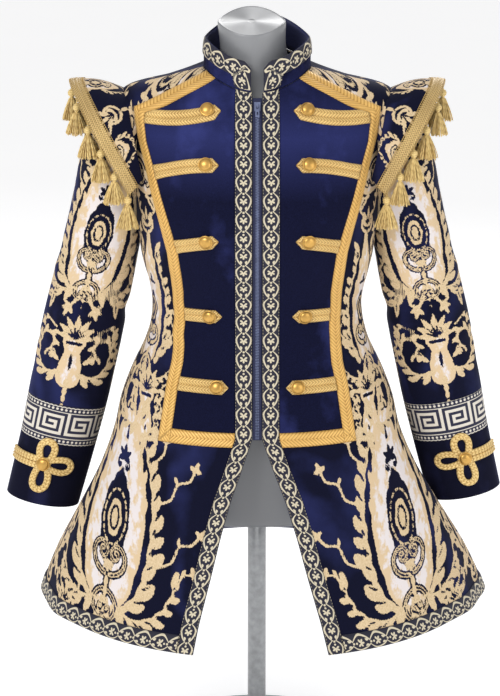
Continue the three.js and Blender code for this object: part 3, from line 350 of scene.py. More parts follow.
@dataclass(frozen=True)
class SleeveSurface:
    """The cloth surface of a sleeve with its key band and cuff."""

    body: BodySurface
    stations: Array = field(default_factory=lambda: pairs([
        [985, 170, 8, 14, 10, 0], [979, 183, 29, 14, 38, 0], [959, 191, 44, 14, 56, 0],
        [925, 199, 53, 14, 67, 0.02], [880, 206, 56, 15, 69, 0.05], [830, 215, 56, 16, 63, 0.09],
        [780, 226, 56, 18, 58, 0.13], [720, 239, 58, 20, 55, 0.16], [650, 254, 60, 23, 53, 0.18],
        [580, 268, 60, 26, 51, 0.19], [514, 281, 59, 29, 49, 0.2], [452, 294, 57, 31, 47, 0.2],
        [400, 306, 56, 33, 46, 0.2], [353, 317, 55, 34, 45, 0.2],
    ]))
    hang: dict[Side, tuple[float, float, float]] = field(default_factory=lambda: {
        Side.LEFT: (13, 0, 6), Side.RIGHT: (2, 12, 4)})
    # Creases: height, tall, deep, turn and width in degrees, and how far they slant
    creases: Array = field(default_factory=lambda: pairs([
        [742, 17, -3.5, -60, 60, 0], [668, 15, -4.5, 150, 70, 0], [632, 14, -3, -100, 50, 0],
        [560, 16, -3, 60, 55, 0], [770, 8, 1.4, -110, 40, 12], [706, 7, 1.5, -40, 46, -14],
        [690, 8, -1.5, -95, 42, 10], [655, 7, 1.5, -70, 50, 12], [604, 8, 1.6, -60, 44, -12],
        [586, 8, -1.4, -105, 40, 12], [720, 8, -1.4, 100, 50, 14], [640, 8, 1.6, 110, 50, -12],
        [600, 7, -1.4, 20, 40, 8], [808, 12, 1.4, 60, 50, 12], [540, 10, 1.1, -120, 36, -8],
        [840, 14, -1.2, -70, 30, 20], [880, 14, 1.0, 100, 40, 12],
    ]))
    band_start: float = 10.0
    cuff_start: float = 11.0

    @property
    def last(self) -> float:
        """Station of the cuff's foot."""
        return len(self.stations) - 1.0

    def point(self, side: Side, station: Array, turn: Array, lift: Array | float = 0.0) -> Array:
        """Find points over a sleeve.

        Args:
            side: Which sleeve.
            station: Place between the stations.
            turn: Turn from the outer side, a quarter back is the front.
            lift: Height above the cloth.

        Returns:
            Points in millimetres.
        """
        z, x_mid, half_x, y_mid, half_y, slant = np.moveaxis(blend_rows(self.stations, station), -1, 0)
        out = np.asarray(lift, float) + np.zeros(np.broadcast(z, turn).shape)
        for height, tall, deep, at, wide, lean in self.creases:
            across = turn_between(turn, math.radians(at))
            out = out + deep * bump(across, math.radians(wide)) * bump(z - height + lean * across, tall)
        x = (half_x + out) * np.cos(turn)
        span = self.stations[0, 0] - self.stations[-1, 0]
        share = ((self.stations[0, 0] - z) / span) ** 2
        swing, rise, back = self.hang[side]
        sign = side.value
        return np.stack([
            sign * (x_mid + x + swing * share),
            y_mid + (half_y + out) * np.sin(turn) + back * share,
            z + slant * x + rise * share,
        ], axis=-1)


@dataclass(frozen=True)
class CollarSurface:
    """The cloth surface of the stand collar."""

    body: BodySurface
    top: Array = field(default_factory=lambda: pairs([1040, 1067, 1096, 75, -62, 3, 64, 2.0, 0]))
    bow: float = 2.5
    gap_half: float = 9
    foot: float = 0.03
    trim_foot: float = 0.46
    corner: float = 0.22
    corner_wide: float = 12

    def point(self, turn: Array, share: Array, lift: Array | float = 0.0) -> Array:
        """Points from the neckline, at share nought, to the collar's top, at share one.

        Args:
            turn: Turn of each point.
            share: Share of the way up.
            lift: How far each point stands above the cloth, in millimetres.

        Returns:
            Points in millimetres.
        """
        def skin(a: Array, b: Array) -> Array:
            """Points of the outer face, from the top down.

            Args:
                a: Turn of each point.
                b: Share of the way down.

            Returns:
                The points.
            """
            up = (1 - b)[..., None]
            low = ring_point(np.broadcast_to(self.body.rings[0], (*a.shape, 9)), a)
            high = ring_point(np.broadcast_to(self.top, (*a.shape, 9)), a, self.bow * 4 * b * (1 - b))
            return low + (high - low) * up
        turn, share = np.broadcast_arrays(np.asarray(turn, float), np.asarray(share, float))
        return lifted(skin, turn, 1 - share, lift, 0.01, 0.99)


@dataclass(frozen=True)
class WingSurface:
    """The cloth surface of a shoulder wing, from its seam to its free edge."""

    turn: float = math.radians(100)
    seam: tuple[float, ...] = (192, 13, 889, 79, 100, 27)
    edge: tuple[float, ...] = (273, 15, 1003, 89, 94, 152, 0.6)
    swell: float = 7
    tip: float = 0.16
    ply: float = 2.6
    gimp: float = 17

    def skin(self, along: Array, share: Array) -> Array:
        """Points of the right wing's upper face.

        Args:
            along: Place along the wing, from -1 at its front end to 1.
            share: Share of the way from the seam to the edge.

        Returns:
            Points in millimetres.
        """
        far = (np.hypot(along, self.tip) - self.tip) / (math.hypot(1, self.tip) - self.tip)
        turn = along * self.turn
        x, y, z, half_y, half_z, draw = self.seam
        seam = np.stack([
            x - draw * np.abs(along) ** 1.5,
            y + half_y * np.sin(turn),
            z + half_z * np.cos(turn),
        ], axis=-1)
        x, y, z, inward, reach, fall, full = self.edge
        edge = np.stack([
            x - inward * far,
            y + reach * np.sin(along * (1 + full * (1 - np.abs(along))) * math.pi / 2),
            z - fall * far,
        ], -1)
        swell = self.swell * np.sin(math.pi * share) * (1 - 0.7 * along * along)
        out = np.stack([np.zeros_like(turn), swell * np.sin(turn), swell * np.cos(turn)], -1)
        return seam + (edge - seam) * share[..., None] + out

    def point(self, side: Side, along: Array, share: Array, lift: Array | float = 0.0) -> Array:
        """Points over a wing, along from its front end at -1 to its back end at 1.

        Args:
            side: Which wing.
            along: Place along the wing.
            share: Share of the way from the seam to the edge.
            lift: How far each point stands above the cloth, in millimetres.

        Returns:
            Points in millimetres.
        """
        along, share = np.broadcast_arrays(np.asarray(along, float), np.asarray(share, float))
        step, at = 0.004, np.clip(along, -0.99, 0.99)
        by_along = self.skin(at + step, share) - self.skin(at - step, share)
        by_share = self.skin(at, share + step) - self.skin(at, share - step)
        normal = unit(np.cross(by_share, by_along))
        found = self.skin(along, share) + normal * np.asarray(lift, float)[..., None]
        found[..., 0] *= side.value
        return found

    def gimp_share(self, along: Array) -> Array:
        """Find where the gimp's inner edge runs.

        Args:
            along: Place along the wing.

        Returns:
            Its share of the way from the seam to the edge.
        """
        seam = self.point(Side.RIGHT, along, np.zeros_like(along))
        tall = np.linalg.norm(seam - self.point(Side.RIGHT, along, np.ones_like(along)), axis=-1)
        return 1 - np.minimum(self.gimp / tall, 0.9)


# Meshes


def make_mesh(name: str, points: Array, faces: Faces, finishes: Sequence[Material],
              slots: Sequence[int] | None = None, smooth: Sequence[bool] | None = None,
              fields: dict[str, Array] | None = None) -> Piece:
    """Make an object at the origin from points in millimetres at table height.

    Args:
        name: Name of the piece.
        points: Its points.
        faces: Its faces, as lists of point numbers.
        finishes: Its materials.
        slots: The material of each face.
        smooth: Whether each face is shaded smooth, all of them where none is given.
        fields: Numbers or vectors held by each point.

    Returns:
        The object, linked to the scene.
    """
    world = points * MM
    world[:, 2] += RISE * MM
    mesh = bpy.data.meshes.new(name)
    mesh.from_pydata(world.tolist(), [], faces)
    for finish in finishes:
        mesh.materials.append(finish)
    if slots is not None:
        mesh.polygons.foreach_set("material_index", list(slots))
    mesh.polygons.foreach_set("use_smooth", [True] * len(faces) if smooth is None else list(smooth))
    for key, values in (fields or {}).items():
        vector = values.ndim == 2
        attribute = mesh.attributes.new(key, "FLOAT_VECTOR" if vector else "FLOAT", "POINT")
        attribute.data.foreach_set("vector" if vector else "value", values.astype(np.float32).ravel())
    mesh.update()
    piece = bpy.data.objects.new(name, mesh)
    bpy.context.scene.collection.objects.link(piece)
    return piece


def shell(name: str, outer: Array, inner: Array, step: int, finishes: Sequence[Material],
          fields: dict[str, Array] | None = None, keep: Array | None = None) -> Piece:
    """A closed shell of cloth with a fine outer face and a coarse inner one.

    Args:
        name: Name of the piece.
        outer: Grid of points of the outer face.
        inner: Grid of points of the inner face, one for every step of the outer grid.
        step: Fine cells to a coarse one.
        finishes: Material of the outer face and the rims, and that of the inner face.
        fields: Numbers or vectors on the outer grid.
        keep: Which coarse cells are there, all where none is given.

    Returns:
        The object.
    """
    rows, columns = inner.shape[0] - 1, inner.shape[1] - 1
    wide = columns * step + 1
    keep = np.ones((rows, columns), bool) if keep is None else keep
    fine = np.kron(keep, np.ones((step, step), bool))
    index = np.arange(outer.shape[0] * wide).reshape(outer.shape[0], wide)
    low = index.size + np.arange(inner.shape[0] * (columns + 1)).reshape(rows + 1, columns + 1)
    upper = np.stack([index[:-1, :-1], index[1:, :-1], index[1:, 1:], index[:-1, 1:]], -1)[fine]
    under = np.stack([low[:-1, :-1], low[:-1, 1:], low[1:, 1:], low[1:, :-1]], -1)[keep]
    faces = upper.tolist() + under.tolist()
    rims = []
    padded = np.pad(keep, 1)
    for i, j in np.argwhere(keep):
        r0, r1, c0, c1 = i * step, (i + 1) * step, j * step, (j + 1) * step
        edges = [
            (padded[i + 1, j], index[r0:r1 + 1, c0], low[i, j], low[i + 1, j]),
            (padded[i + 2, j + 1], index[r1, c0:c1 + 1], low[i + 1, j], low[i + 1, j + 1]),
            (padded[i + 1, j + 2], index[r0:r1 + 1, c1][::-1], low[i + 1, j + 1], low[i, j + 1]),
            (padded[i, j + 1], index[r0, c0:c1 + 1][::-1], low[i, j + 1], low[i, j]),
        ]
        rims += [[*line[::-1].tolist(), int(a), int(b)] for shut, line, a, b in edges if not shut]
    faces += rims
    mid = (rows // 2, columns // 2)
    i, j = mid[0] * step, mid[1] * step
    normal = np.cross(outer[i + 1, j] - outer[i, j], outer[i, j + 1] - outer[i, j])
    if np.dot(normal, outer[i, j] - inner[mid]) < 0:
        faces = [face[::-1] for face in faces]
    points = np.concatenate([outer.reshape(-1, 3), inner.reshape(-1, 3)])
    held = {}
    for key, values in (fields or {}).items():
        tail = values[::step, ::step]
        held[key] = np.concatenate([values.reshape(index.size, -1), tail.reshape(low.size, -1)])
        if values.ndim == 2:
            held[key] = held[key][:, 0]
    if not keep.all():
        used = np.unique(np.concatenate([np.array(face) for face in faces]))
        place = np.full(len(points), -1)
        place[used] = np.arange(len(used))
        faces = [place[face].tolist() for face in faces]
        points = points[used]
        held = {key: values[used] for key, values in held.items()}
    slots = [0] * len(upper) + [min(1, len(finishes) - 1)] * len(under) + [0] * len(rims)
    smooth = [True] * (len(upper) + len(under)) + [False] * len(rims)
    return make_mesh(name, points, faces, finishes, slots, smooth, held)


def loft(rings: Array, closed: bool = True) -> Solid:
    """Points and faces through rings, with caps.

    Args:
        rings: Rings of points, one below the other.
        closed: Whether both ends are capped.

    Returns:
        Points and faces, turned so that faces point out.
    """
    count, sides = rings.shape[:2]
    points = rings.reshape(-1, 3)
    index = np.arange(count * sides).reshape(count, sides)
    after = np.roll(index, -1, axis=1)
    faces = np.stack([index[:-1], after[:-1], after[1:], index[1:]], -1).reshape(-1, 4).tolist()
    if closed:
        faces += [index[0][::-1].tolist(), index[-1].tolist()]
    p = points - points.mean(axis=0)
    volume = 0.0
    for face in faces:
        volume += sum(float(np.dot(p[face[0]], np.cross(p[b], p[c]))) for b, c in zip(face[1:], face[2:]))
    return points, faces if volume > 0 else [face[::-1] for face in faces]


def lathe(profile: Sequence[tuple[float, float]], sides: int) -> Array:
    """Turn a profile about +Z.

    Args:
        profile: Radius and height pairs.
        sides: Points round each ring.

    Returns:
        One ring for each pair.
    """
    turns = np.arange(sides) * 2 * math.pi / sides
    circle = np.stack([np.cos(turns), np.sin(turns), 0 * turns], -1)
    return np.stack([radius * circle + [0, 0, height] for radius, height in profile])


def aimed(rings: Array, seat: Array, normal: Array) -> Array:
    """Rings about +Z, moved to a seat with their axis along a normal.

    Args:
        rings: The rings.
        seat: Where their origin goes.
        normal: Their new axis.

    Returns:
        The moved rings.
    """
    aside = unit(np.cross([0.0, 0.0, 1.0], normal)) if abs(normal[2]) < 0.99 else np.array([1.0, 0, 0])
    up = np.cross(normal, aside)
    return seat + rings[..., :1] * aside + rings[..., 1:2] * up + rings[..., 2:] * normal


def joined(parts: list[Solid]) -> Solid:
    """Points and faces of several bodies in one.

    Args:
        parts: Points and faces of each body.

    Returns:
        Points and faces of the whole.
    """
    points, faces, start = [], [], 0
    for body, body_faces in parts:
        points.append(body)
        faces += [[k + start for k in face] for face in body_faces]
        start += len(body)
    return np.concatenate(points), faces


def run_of(line: Array) -> Array:
    """Length along a line of points, from its start."""
    return np.concatenate([[0], np.cumsum(np.linalg.norm(np.diff(line, axis=0), axis=1))])


def cloth_map(along: Array, across: Array) -> Array:
    """Cloth coordinates of each point from its numbers along and across, spread to one shape."""
    along, across = np.broadcast_arrays(along, across)
    return np.stack([along, across, np.zeros(along.shape)], -1)


def settle(piece: Piece, slot: str, *nodes: str, body: str = JACKET) -> Piece:
    """Give a piece its body and hide the nodes that it stands for.

    Args:
        piece: The finished piece.
        slot: Not used.
        nodes: CAD nodes that it replaces.
        body: The body that it rides on.

    Returns:
        The piece.
    """
    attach(piece, body)
    if nodes:
        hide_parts(*nodes)
    return piece


# Brocade


@dataclass
class Ornament:
    """Scroll work drawn as tapering strokes, in millimetres about a motif's own middle."""

    strokes: list[tuple[Layer, Array, Array]] = field(default_factory=list)

    def stroke(self, layer: Layer, path: Line, radius: Sequence[float], mirror: bool = True) -> None:
        """Add a line with a radius at each of its points, and its mirror image.

        Args:
            layer: Thread layer.
            path: Points of the line.
            radius: Radius at each point.
            mirror: Whether it is repeated on the other side of the axis.
        """
        line, wide = pairs(path), np.array(radius, float)
        self.strokes.append((layer, line, wide))
        if mirror:
            self.strokes.append((layer, line * [-1, 1], wide))

    def leaf(self, layer: Layer, x: float, y: float, angle: float, length: float, wide: float,
             curl: float = 0.0, mirror: bool = True) -> None:
        """Add a pointed leaf.

        Args:
            layer: Thread layer.
            x: Where its foot is.
            y: Where its foot is.
            angle: Its heading in degrees.
            length: Its length.
            wide: Its width at the belly.
            curl: How far it turns along its length, in degrees.
            mirror: Whether it is repeated on the other side of the axis.
        """
        count = 7
        share = np.linspace(0, 1, count)
        heading = np.radians(angle + curl * share)
        steps = np.stack([np.cos(heading), np.sin(heading)], -1) * length / (count - 1)
        line = np.array([x, y]) + np.concatenate([np.zeros((1, 2)), np.cumsum(steps, axis=0)[:-1]])
        self.stroke(layer, line, wide / 2 * np.sin(math.pi * (0.12 + 0.86 * share)) ** 0.8, mirror)

    def scroll(self, layer: Layer, x: float, y: float, angle: float, size: float, wide: float, hand: int = 1,
               mirror: bool = True) -> None:
        """Add a volute that starts at a point and curls in to a bud.

        Args:
            layer: Thread layer.
            x: Where it starts.
            y: Where it starts.
            angle: Its first heading in degrees.
            size: Its width across.
            wide: Its thickness at the start.
            hand: 1 where it turns left, -1 where it turns right.
            mirror: Whether it is repeated on the other side of the axis.
        """
        count = 22
        share = np.linspace(0, 1, count)
        heading = math.radians(angle) + hand * share * 3.1 * math.pi * (0.55 + 0.45 * share)
        pace = size * 0.165 * (1 - 0.72 * share)
        steps = np.stack([np.cos(heading), np.sin(heading)], -1) * pace[:, None]
        line = np.array([x, y]) + np.concatenate([np.zeros((1, 2)), np.cumsum(steps, axis=0)[:-1]])
        radius = wide / 2 * (1 - 0.45 * share)
        radius[-2:] = wide * 0.62
        self.stroke(layer, line, radius, mirror)

    def oval(self, layer: Layer, x: float, y: float, half_x: float, half_y: float, wide: float) -> None:
        """Add an oval line round a point.

        Args:
            layer: Thread layer.
            x: Its middle across.
            y: Its middle up.
            half_x: Half its width.
            half_y: Half its height.
            wide: Width of the line.
        """
        turns = np.linspace(0, 2 * math.pi, 29)
        line = np.stack([x + half_x * np.cos(turns), y + half_y * np.sin(turns)], -1)
        self.stroke(layer, line, np.full(29, wide / 2), mirror=False)

    def fan(self, layer: Layer, x: float, y: float, angle: float, spread: float, count: int, length: float,
            wide: float, mirror: bool = True) -> None:
        """Add leaves that spread from one foot, the middle one longest.

        Args:
            layer: Thread layer.
            x: The foot's place across.
            y: The foot's place up.
            angle: Heading of the middle leaf in degrees.
            spread: Angle of the whole fan.
            count: How many leaves.
            length: Length of the middle leaf.
            wide: Width of each leaf.
            mirror: Whether it is repeated on the other side of the axis.
        """
        for k in range(count):
            share = (k - (count - 1) / 2) / max((count - 1) / 2, 1)
            self.leaf(layer, x, y, angle + spread * share / 2, length * (1 - 0.28 * share * share), wide,
                      18 * share, mirror)

    def plume(self, path: Line, size: float, hand: int = -1, wide: float = 3.4,
              mirror: bool = True) -> None:
        """Add an acanthus plume, a stem whose outer side breaks into lobes with veins between them.

        Args:
            path: Points of the stem.
            size: Length of its lobes at the foot.
            hand: 1 where the lobes are on its left, -1 on its right.
            wide: Radius of the stem.
            mirror: Whether it is repeated on the other side of the axis.
        """
        fine = np.linspace(0, len(path) - 1, 6 * len(path))
        line = blend_rows(pairs(path), fine)
        line = line + 1.3 * np.sin(fine * 9.0)[:, None] * [1, 0]
        heading = np.degrees(np.arctan2(*np.gradient(line, axis=0).T[::-1]))
        fade = 1 - 0.5 * np.linspace(0, 1, len(line))
        self.stroke(Layer.RAISED, line, wide * fade, mirror)
        run = run_of(line)
        for number, at in enumerate(np.arange(0.3 * size, run[-1], 0.66 * size)):
            k = int(np.searchsorted(run, at))
            reach = size * fade[k] * (1.0 if number % 2 else 0.82)
            self.leaf(Layer.RAISED, *line[k], heading[k] + 50 * hand, reach, reach * 0.56, -34 * hand, mirror)
            later = min(k + 2, len(line) - 1)
            vein = heading[later] + 42 * hand
            self.leaf(Layer.LINE, *line[later], vein, reach * 0.55, 3.0, -24 * hand, mirror)
        self.leaf(Layer.RAISED, *line[-1], heading[-1], size * 0.9, size * 0.36, 26 * hand, mirror)

    def volute(self, x: float, y: float, angle: float, size: float, wide: float, hand: int = 1,
               mirror: bool = True) -> None:
        """Add a scroll with a dark edge, which shows on the ivory field."""
        self.scroll(Layer.SHADE, x, y, angle, size, wide + 5.0, hand, mirror)
        self.scroll(Layer.RAISED, x, y, angle, size, wide, hand, mirror)

    def tendril(self, path: Line, mirror: bool = True) -> None:
        """Add a thin curling stem with a small flower at its end.

        Args:
            path: Points of the stem.
            mirror: Whether it is repeated on the other side of the axis.
        """
        fine = np.linspace(0, len(path) - 1, 5 * len(path))
        line = blend_rows(pairs(path), fine)
        self.stroke(Layer.RAISED, line, np.full(len(line), 1.6), mirror)
        heading = math.degrees(math.atan2(*(line[-1] - line[-2])[::-1]))
        self.fan(Layer.RAISED, *line[-1], heading, 150, 3, 12, 6, mirror)
        middle = len(line) // 2
        self.leaf(Layer.RAISED, *line[middle], heading + 60, 11, 5, -30, mirror)

    def drops(self, x: float, y: float, count: int, size: float, mirror: bool = False) -> None:
        """Add a chain of bell flowers that hangs from a point.

        Args:
            x: Place of the first across.
            y: Place of the first up.
            count: How many flowers.
            size: Length of the first.
            mirror: Whether it is repeated on the other side of the axis.
        """
        for k in range(count):
            scale = size * (1 - 0.12 * k)
            self.leaf(Layer.RAISED, x, y - 0.95 * size * k, -90, scale, scale * 0.6, 0, mirror)

    def placed(self, x: float, y: float, lean: float = 0.0, size: float = 1.0) -> "Ornament":
        """A copy at a place of the cloth.

        Args:
            x: Across the cloth.
            y: Up the cloth.
            lean: Turn to the left, in degrees.
            size: Scale.

        Returns:
            The moved ornament.
        """
        a = math.radians(lean)
        turn = np.array([[math.cos(a), math.sin(a)], [-math.sin(a), math.cos(a)]]) * size
        return Ornament([(layer, line @ turn + [x, y], wide * size) for layer, line, wide in self.strokes])

    def paint(self, across: Array, up: Array) -> dict[str, Array]:
        """Depths inside each thread layer.

        Args:
            across: Cloth coordinate of each point, in millimetres.
            up: Cloth coordinate of each point, in millimetres.

        Returns:
            For each layer, how far inside it each point is, from -6 to 24.
        """
        shape = across.shape
        spots = np.stack([across.ravel(), up.ravel()], -1)
        found = {layer.value: np.full(len(spots), -6.0) for layer in Layer}
        for layer, line, wide in self.strokes:
            reach = wide.max() + 6
            low, high = line.min(axis=0) - reach, line.max(axis=0) + reach
            near = np.flatnonzero(np.all((spots > low) & (spots < high), axis=1))
            if not len(near):
                continue
            p = spots[near]
            best = np.full(len(near), -6.0)
            for a, b, wide_a, wide_b in zip(line[:-1], line[1:], wide[:-1], wide[1:]):
                ab = b - a
                t = np.clip(((p - a) @ ab) / max(float(ab @ ab), 1e-9), 0, 1)
                away = np.linalg.norm(p - a - t[:, None] * ab, axis=1)
                best = np.maximum(best, wide_a + (wide_b - wide_a) * t - away)
            held = found[layer.value]
            held[near] = np.maximum(held[near], best)
        return {key: np.clip(values, -6, 24).reshape(shape) for key, values in found.items()}

    def __add__(self, other: "Ornament") -> "Ornament":
        """Both ornaments in one."""
        return Ornament(self.strokes + other.strokes)


def medallion_motif() -> Ornament:
    """A pear-shaped ivory field with an arched medallion, volutes under it and plumes up both sides.

    Returns:
        The motif about its own middle.
    """
    art = Ornament()
    rise = [-112, -98, -74, -42, -6, 30, 62, 90, 114, 136, 160]
    half = [12, 30, 43, 50, 52, 47, 37, 25, 15, 9, 5]
    art.stroke(Layer.FIELD, [[0, y] for y in rise], half, mirror=False)
    for k in range(6):
        y = -62 + 34 * k
        art.leaf(Layer.FIELD, float(np.interp(y, rise, half)) - 9, y, 70 - 3 * k, 26, 10, 24)
    arch = [[0, -30], [0, -10], [0, 16], [0, 36], [0, 52]]
    art.stroke(Layer.SHADE, arch, [22, 26, 23, 13, 2.2], mirror=False)
    art.oval(Layer.RAISED, 0, -6, 20.5, 33, 2.7)
    art.stroke(Layer.RAISED, [[0, -20], [0, -7], [0, 6]], [9.5, 13.5, 9.5], mirror=False)
    art.oval(Layer.LINE, 0, -7, 7.2, 13.5, 3.6)
    for k in range(14):
        turn = 2 * math.pi * k / 14
        x, y = 18.4 * math.cos(turn), -6 + 30 * math.sin(turn)
        art.leaf(Layer.LINE, x, y, math.degrees(turn), 5.6, 3.2, 0, mirror=False)
    art.fan(Layer.SHADE, 0, 66, 90, 190, 5, 17, 7.5, mirror=False)
    art.scroll(Layer.SHADE, 2, 64, 10, 15, 3.6, -1)
    art.stroke(Layer.SHADE, [[0, 92], [0, 104]], [3.2, 1.4], mirror=False)
    art.stroke(Layer.SHADE, [[0, -62], [0, -70]], [10, 6], mirror=False)
    art.fan(Layer.RAISED, 0, -60, -90, 130, 5, 15, 5.4, mirror=False)
    art.volute(5, -76, 12, 44, 5.6, 1)
    art.volute(4, -96, -24, 40, 5.2, -1)
    art.scroll(Layer.LINE, 5, -76, 12, 44, 2.6, 1)
    art.scroll(Layer.LINE, 4, -96, -24, 40, 2.6, -1)
    art.stroke(Layer.SHADE, [[0, -84], [0, -118]], [6, 4], mirror=False)
    art.drops(0, -80, 6, 13)
    hook = [[5, -106], [9, -128], [20, -144], [33, -138], [32, -126]]
    art.stroke(Layer.RAISED, hook, [2.2, 2.6, 2.8, 2.4, 3.6])
    art.fan(Layer.RAISED, 22, -146, -74, 90, 3, 20, 8)
    tall = [[32, -110], [52, -88], [61, -54], [64, -14], [61, 26], [51, 62], [38, 92], [25, 124]]
    art.plume(tall, 33, -1, 4.4)
    art.plume([[18, -112], [44, -120], [70, -112], [92, -92], [104, -64]], 27, -1, 3.8)
    art.plume([[44, -122], [68, -138], [96, -138], [116, -124]], 20, 1, 3.2)
    art.leaf(Layer.RAISED, 60, -128, -84, 34, 12, 8)
    art.leaf(Layer.LINE, 61, -134, -84, 20, 3.0, 8)
    art.plume([[36, 98], [46, 122], [44, 148]], 15, -1, 2.4)
    art.tendril([[72, -46], [94, -34], [104, -12], [120, -6], [130, 6]])
    art.tendril([[66, 30], [84, 40], [92, 60], [108, 68], [114, 82]])
    art.tendril([[50, 74], [66, 90], [70, 112], [84, 122]])
    art.tendril([[104, -64], [112, -46], [126, -40]])
    return art


def panel_motif() -> Ornament:
    """A narrow ivory flame with a small oval, between tall plumes.

    Returns:
        The motif about its own middle.
    """
    art = Ornament()
    rise = [-84, -58, -22, 18, 56, 90, 118]
    half = [6, 22, 30, 27, 19, 10, 3]
    art.stroke(Layer.FIELD, [[0, y] for y in rise], half, mirror=False)
    for k in range(4):
        y = -40 + 34 * k
        art.leaf(Layer.FIELD, float(np.interp(y, rise, half)) - 8, y, 70, 22, 8, 20)
    art.stroke(Layer.SHADE, [[0, -18], [0, 0], [0, 20]], [12, 16, 6], mirror=False)
    art.oval(Layer.RAISED, 0, -2, 10.5, 17, 3.2)
    art.leaf(Layer.RAISED, 0, -10, 90, 18, 6, 0, mirror=False)
    art.fan(Layer.SHADE, 0, 40, 90, 150, 3, 16, 6, mirror=False)
    art.volute(4, -52, 14, 30, 4.4, 1)
    art.volute(4, -70, -30, 26, 4.2, -1)
    art.drops(0, -60, 5, 12)
    art.plume([[24, -72], [36, -44], [41, -8], [37, 30], [28, 64], [18, 92]], 25, -1, 3.8)
    art.plume([[12, -88], [34, -96], [54, -82]], 16)
    art.tendril([[50, -36], [62, -20], [62, 2]])
    return art


def vase_motif() -> Ornament:
    """A vase of leaves on ivory, between broad curling plumes.

    Returns:
        The motif about its own middle.
    """
    art = Ornament()
    belly = [[0, -44], [0, -26], [0, -6], [0, 10], [0, 22]]
    art.stroke(Layer.FIELD, belly, [17, 15, 10, 16, 3], mirror=False)
    art.stroke(Layer.SHADE, [[-9, 6], [9, 6]], [2.4, 2.4], mirror=False)
    art.leaf(Layer.SHADE, 0, -34, 90, 26, 5, 0, mirror=False)
    art.fan(Layer.RAISED, 0, 12, 90, 150, 7, 36, 9, mirror=False)
    art.fan(Layer.LINE, 0, 12, 90, 108, 6, 22, 3.2, mirror=False)
    art.plume([[14, -40], [34, -44], [52, -30], [58, -6], [46, 14], [28, 8], [30, -10]], 21, -1, 4.2)
    art.volute(40, -20, 100, 18, 4.4, 1)
    art.drops(0, -48, 4, 13)
    art.tendril([[30, 24], [46, 32], [58, 26]])
    return art


def sprig_motif() -> Ornament:
    """A small pair of scrolls with a fan of leaves and thin tendrils.

    Returns:
        The motif about its own middle.
    """
    art = Ornament()
    art.scroll(Layer.RAISED, 3, -12, 14, 26, 4.6, 1)
    art.fan(Layer.RAISED, 0, -4, 90, 120, 5, 27, 7, mirror=False)
    art.fan(Layer.LINE, 0, -2, 90, 90, 4, 17, 3.0, mirror=False)
    art.drops(0, -16, 3, 13)
    art.tendril([[10, 10], [22, 20], [24, 34]])
    return art


def rosette_motif() -> Ornament:
    """A round flower in a dark oval on an ivory field, with scrolls round it.

    Returns:
        The motif about its own middle.
    """
    art = Ornament()
    art.stroke(Layer.FIELD, [[-34, 0], [-14, 0], [14, 0], [34, 0]], [14, 28, 28, 14], mirror=False)
    art.stroke(Layer.SHADE, [[0, -4], [0, 4]], [18, 18], mirror=False)
    art.oval(Layer.RAISED, 0, 0, 14, 16.5, 3.0)
    for k in range(6):
        art.leaf(Layer.RAISED, 0, 0, 60 * k + 30, 10.5, 5.6, 0, mirror=False)
    art.volute(22, -12, 40, 24, 4.4, 1)
    art.volute(22, 14, -40, 20, 4.2, -1)
    art.plume([[20, -30], [42, -30], [58, -14], [62, 8]], 16)
    art.plume([[14, 30], [34, 34], [52, 24]], 14, 1)
    return art


def arranged(plan: dict[Callable[[], Ornament], list[tuple[float, ...]]]) -> Ornament:
    """Set copies of motifs at their places of the cloth.

    Args:
        plan: For each motif, the place across and up, the lean and the size of each of its copies.

    Returns:
        All copies as one ornament.
    """
    art = Ornament()
    for motif, spots in plan.items():
        drawn = motif()
        for spot in spots:
            art += drawn.placed(*spot)
    return art


def body_front_art() -> Ornament:
    """Draw the brocade of a front.

    Returns:
        Its ornament, across from centre front and up by height.
    """
    return arranged({
        medallion_motif: [(228, 386, 8, 1.1)],
        panel_motif: [(186, 672, 3), (392, 372, 12)],
        vase_motif: [(178, 545, 4)],
        rosette_motif: [(196, 872, 8, 0.9), (158, 1002, 26, 0.9)],
        sprig_motif: [(184, 806, -4), (206, 940, 4), (108, 1016, 20), (330, 246, 10, 1.1), (240, 610, 4),
                      (292, 520, 8), (420, 256, 10), (236, 760, 4)],
    })


def body_back_art() -> Ornament:
    """Draw the brocade of a back.

    Returns:
        Its ornament, across from centre back and up by height.
    """
    return arranged({
        medallion_motif: [(190, 384, -8), (94, 800, -2, 0.86)],
        panel_motif: [(58, 372, -2), (376, 380, -12)],
        vase_motif: [(92, 560, -3), (96, 640, -3, 0.9)],
        rosette_motif: [(96, 968, -4)],
        sprig_motif: [(190, 960, -8), (60, 250, 0), (300, 250, -10, 1.1), (182, 690, -4, 1.1),
                      (196, 600, -4), (196, 860, -4), (66, 1024, 0), (420, 260, -12), (290, 520, -8)],
    })


def sleeve_art() -> Ornament:
    """Draw the brocade of a sleeve.

    Returns:
        Its ornament, across from its outer side and up by height.
    """
    middles, between = (-82, 94), ((6, 0), (-168, 12), (184, 12))
    return arranged({
        medallion_motif: [(x, 790, 0, 0.84) for x in middles],
        vase_motif: [(x, 606, 0, 1.05) for x in middles],
        rosette_motif: [(x, 946, 0, 0.8) for x in middles],
        sprig_motif: [(x, y + shift, 0, size) for x, shift in between
                      for y, size in ((706, 1.0), (886, 1.1), (580, 0.9))],
    })


# Finishes


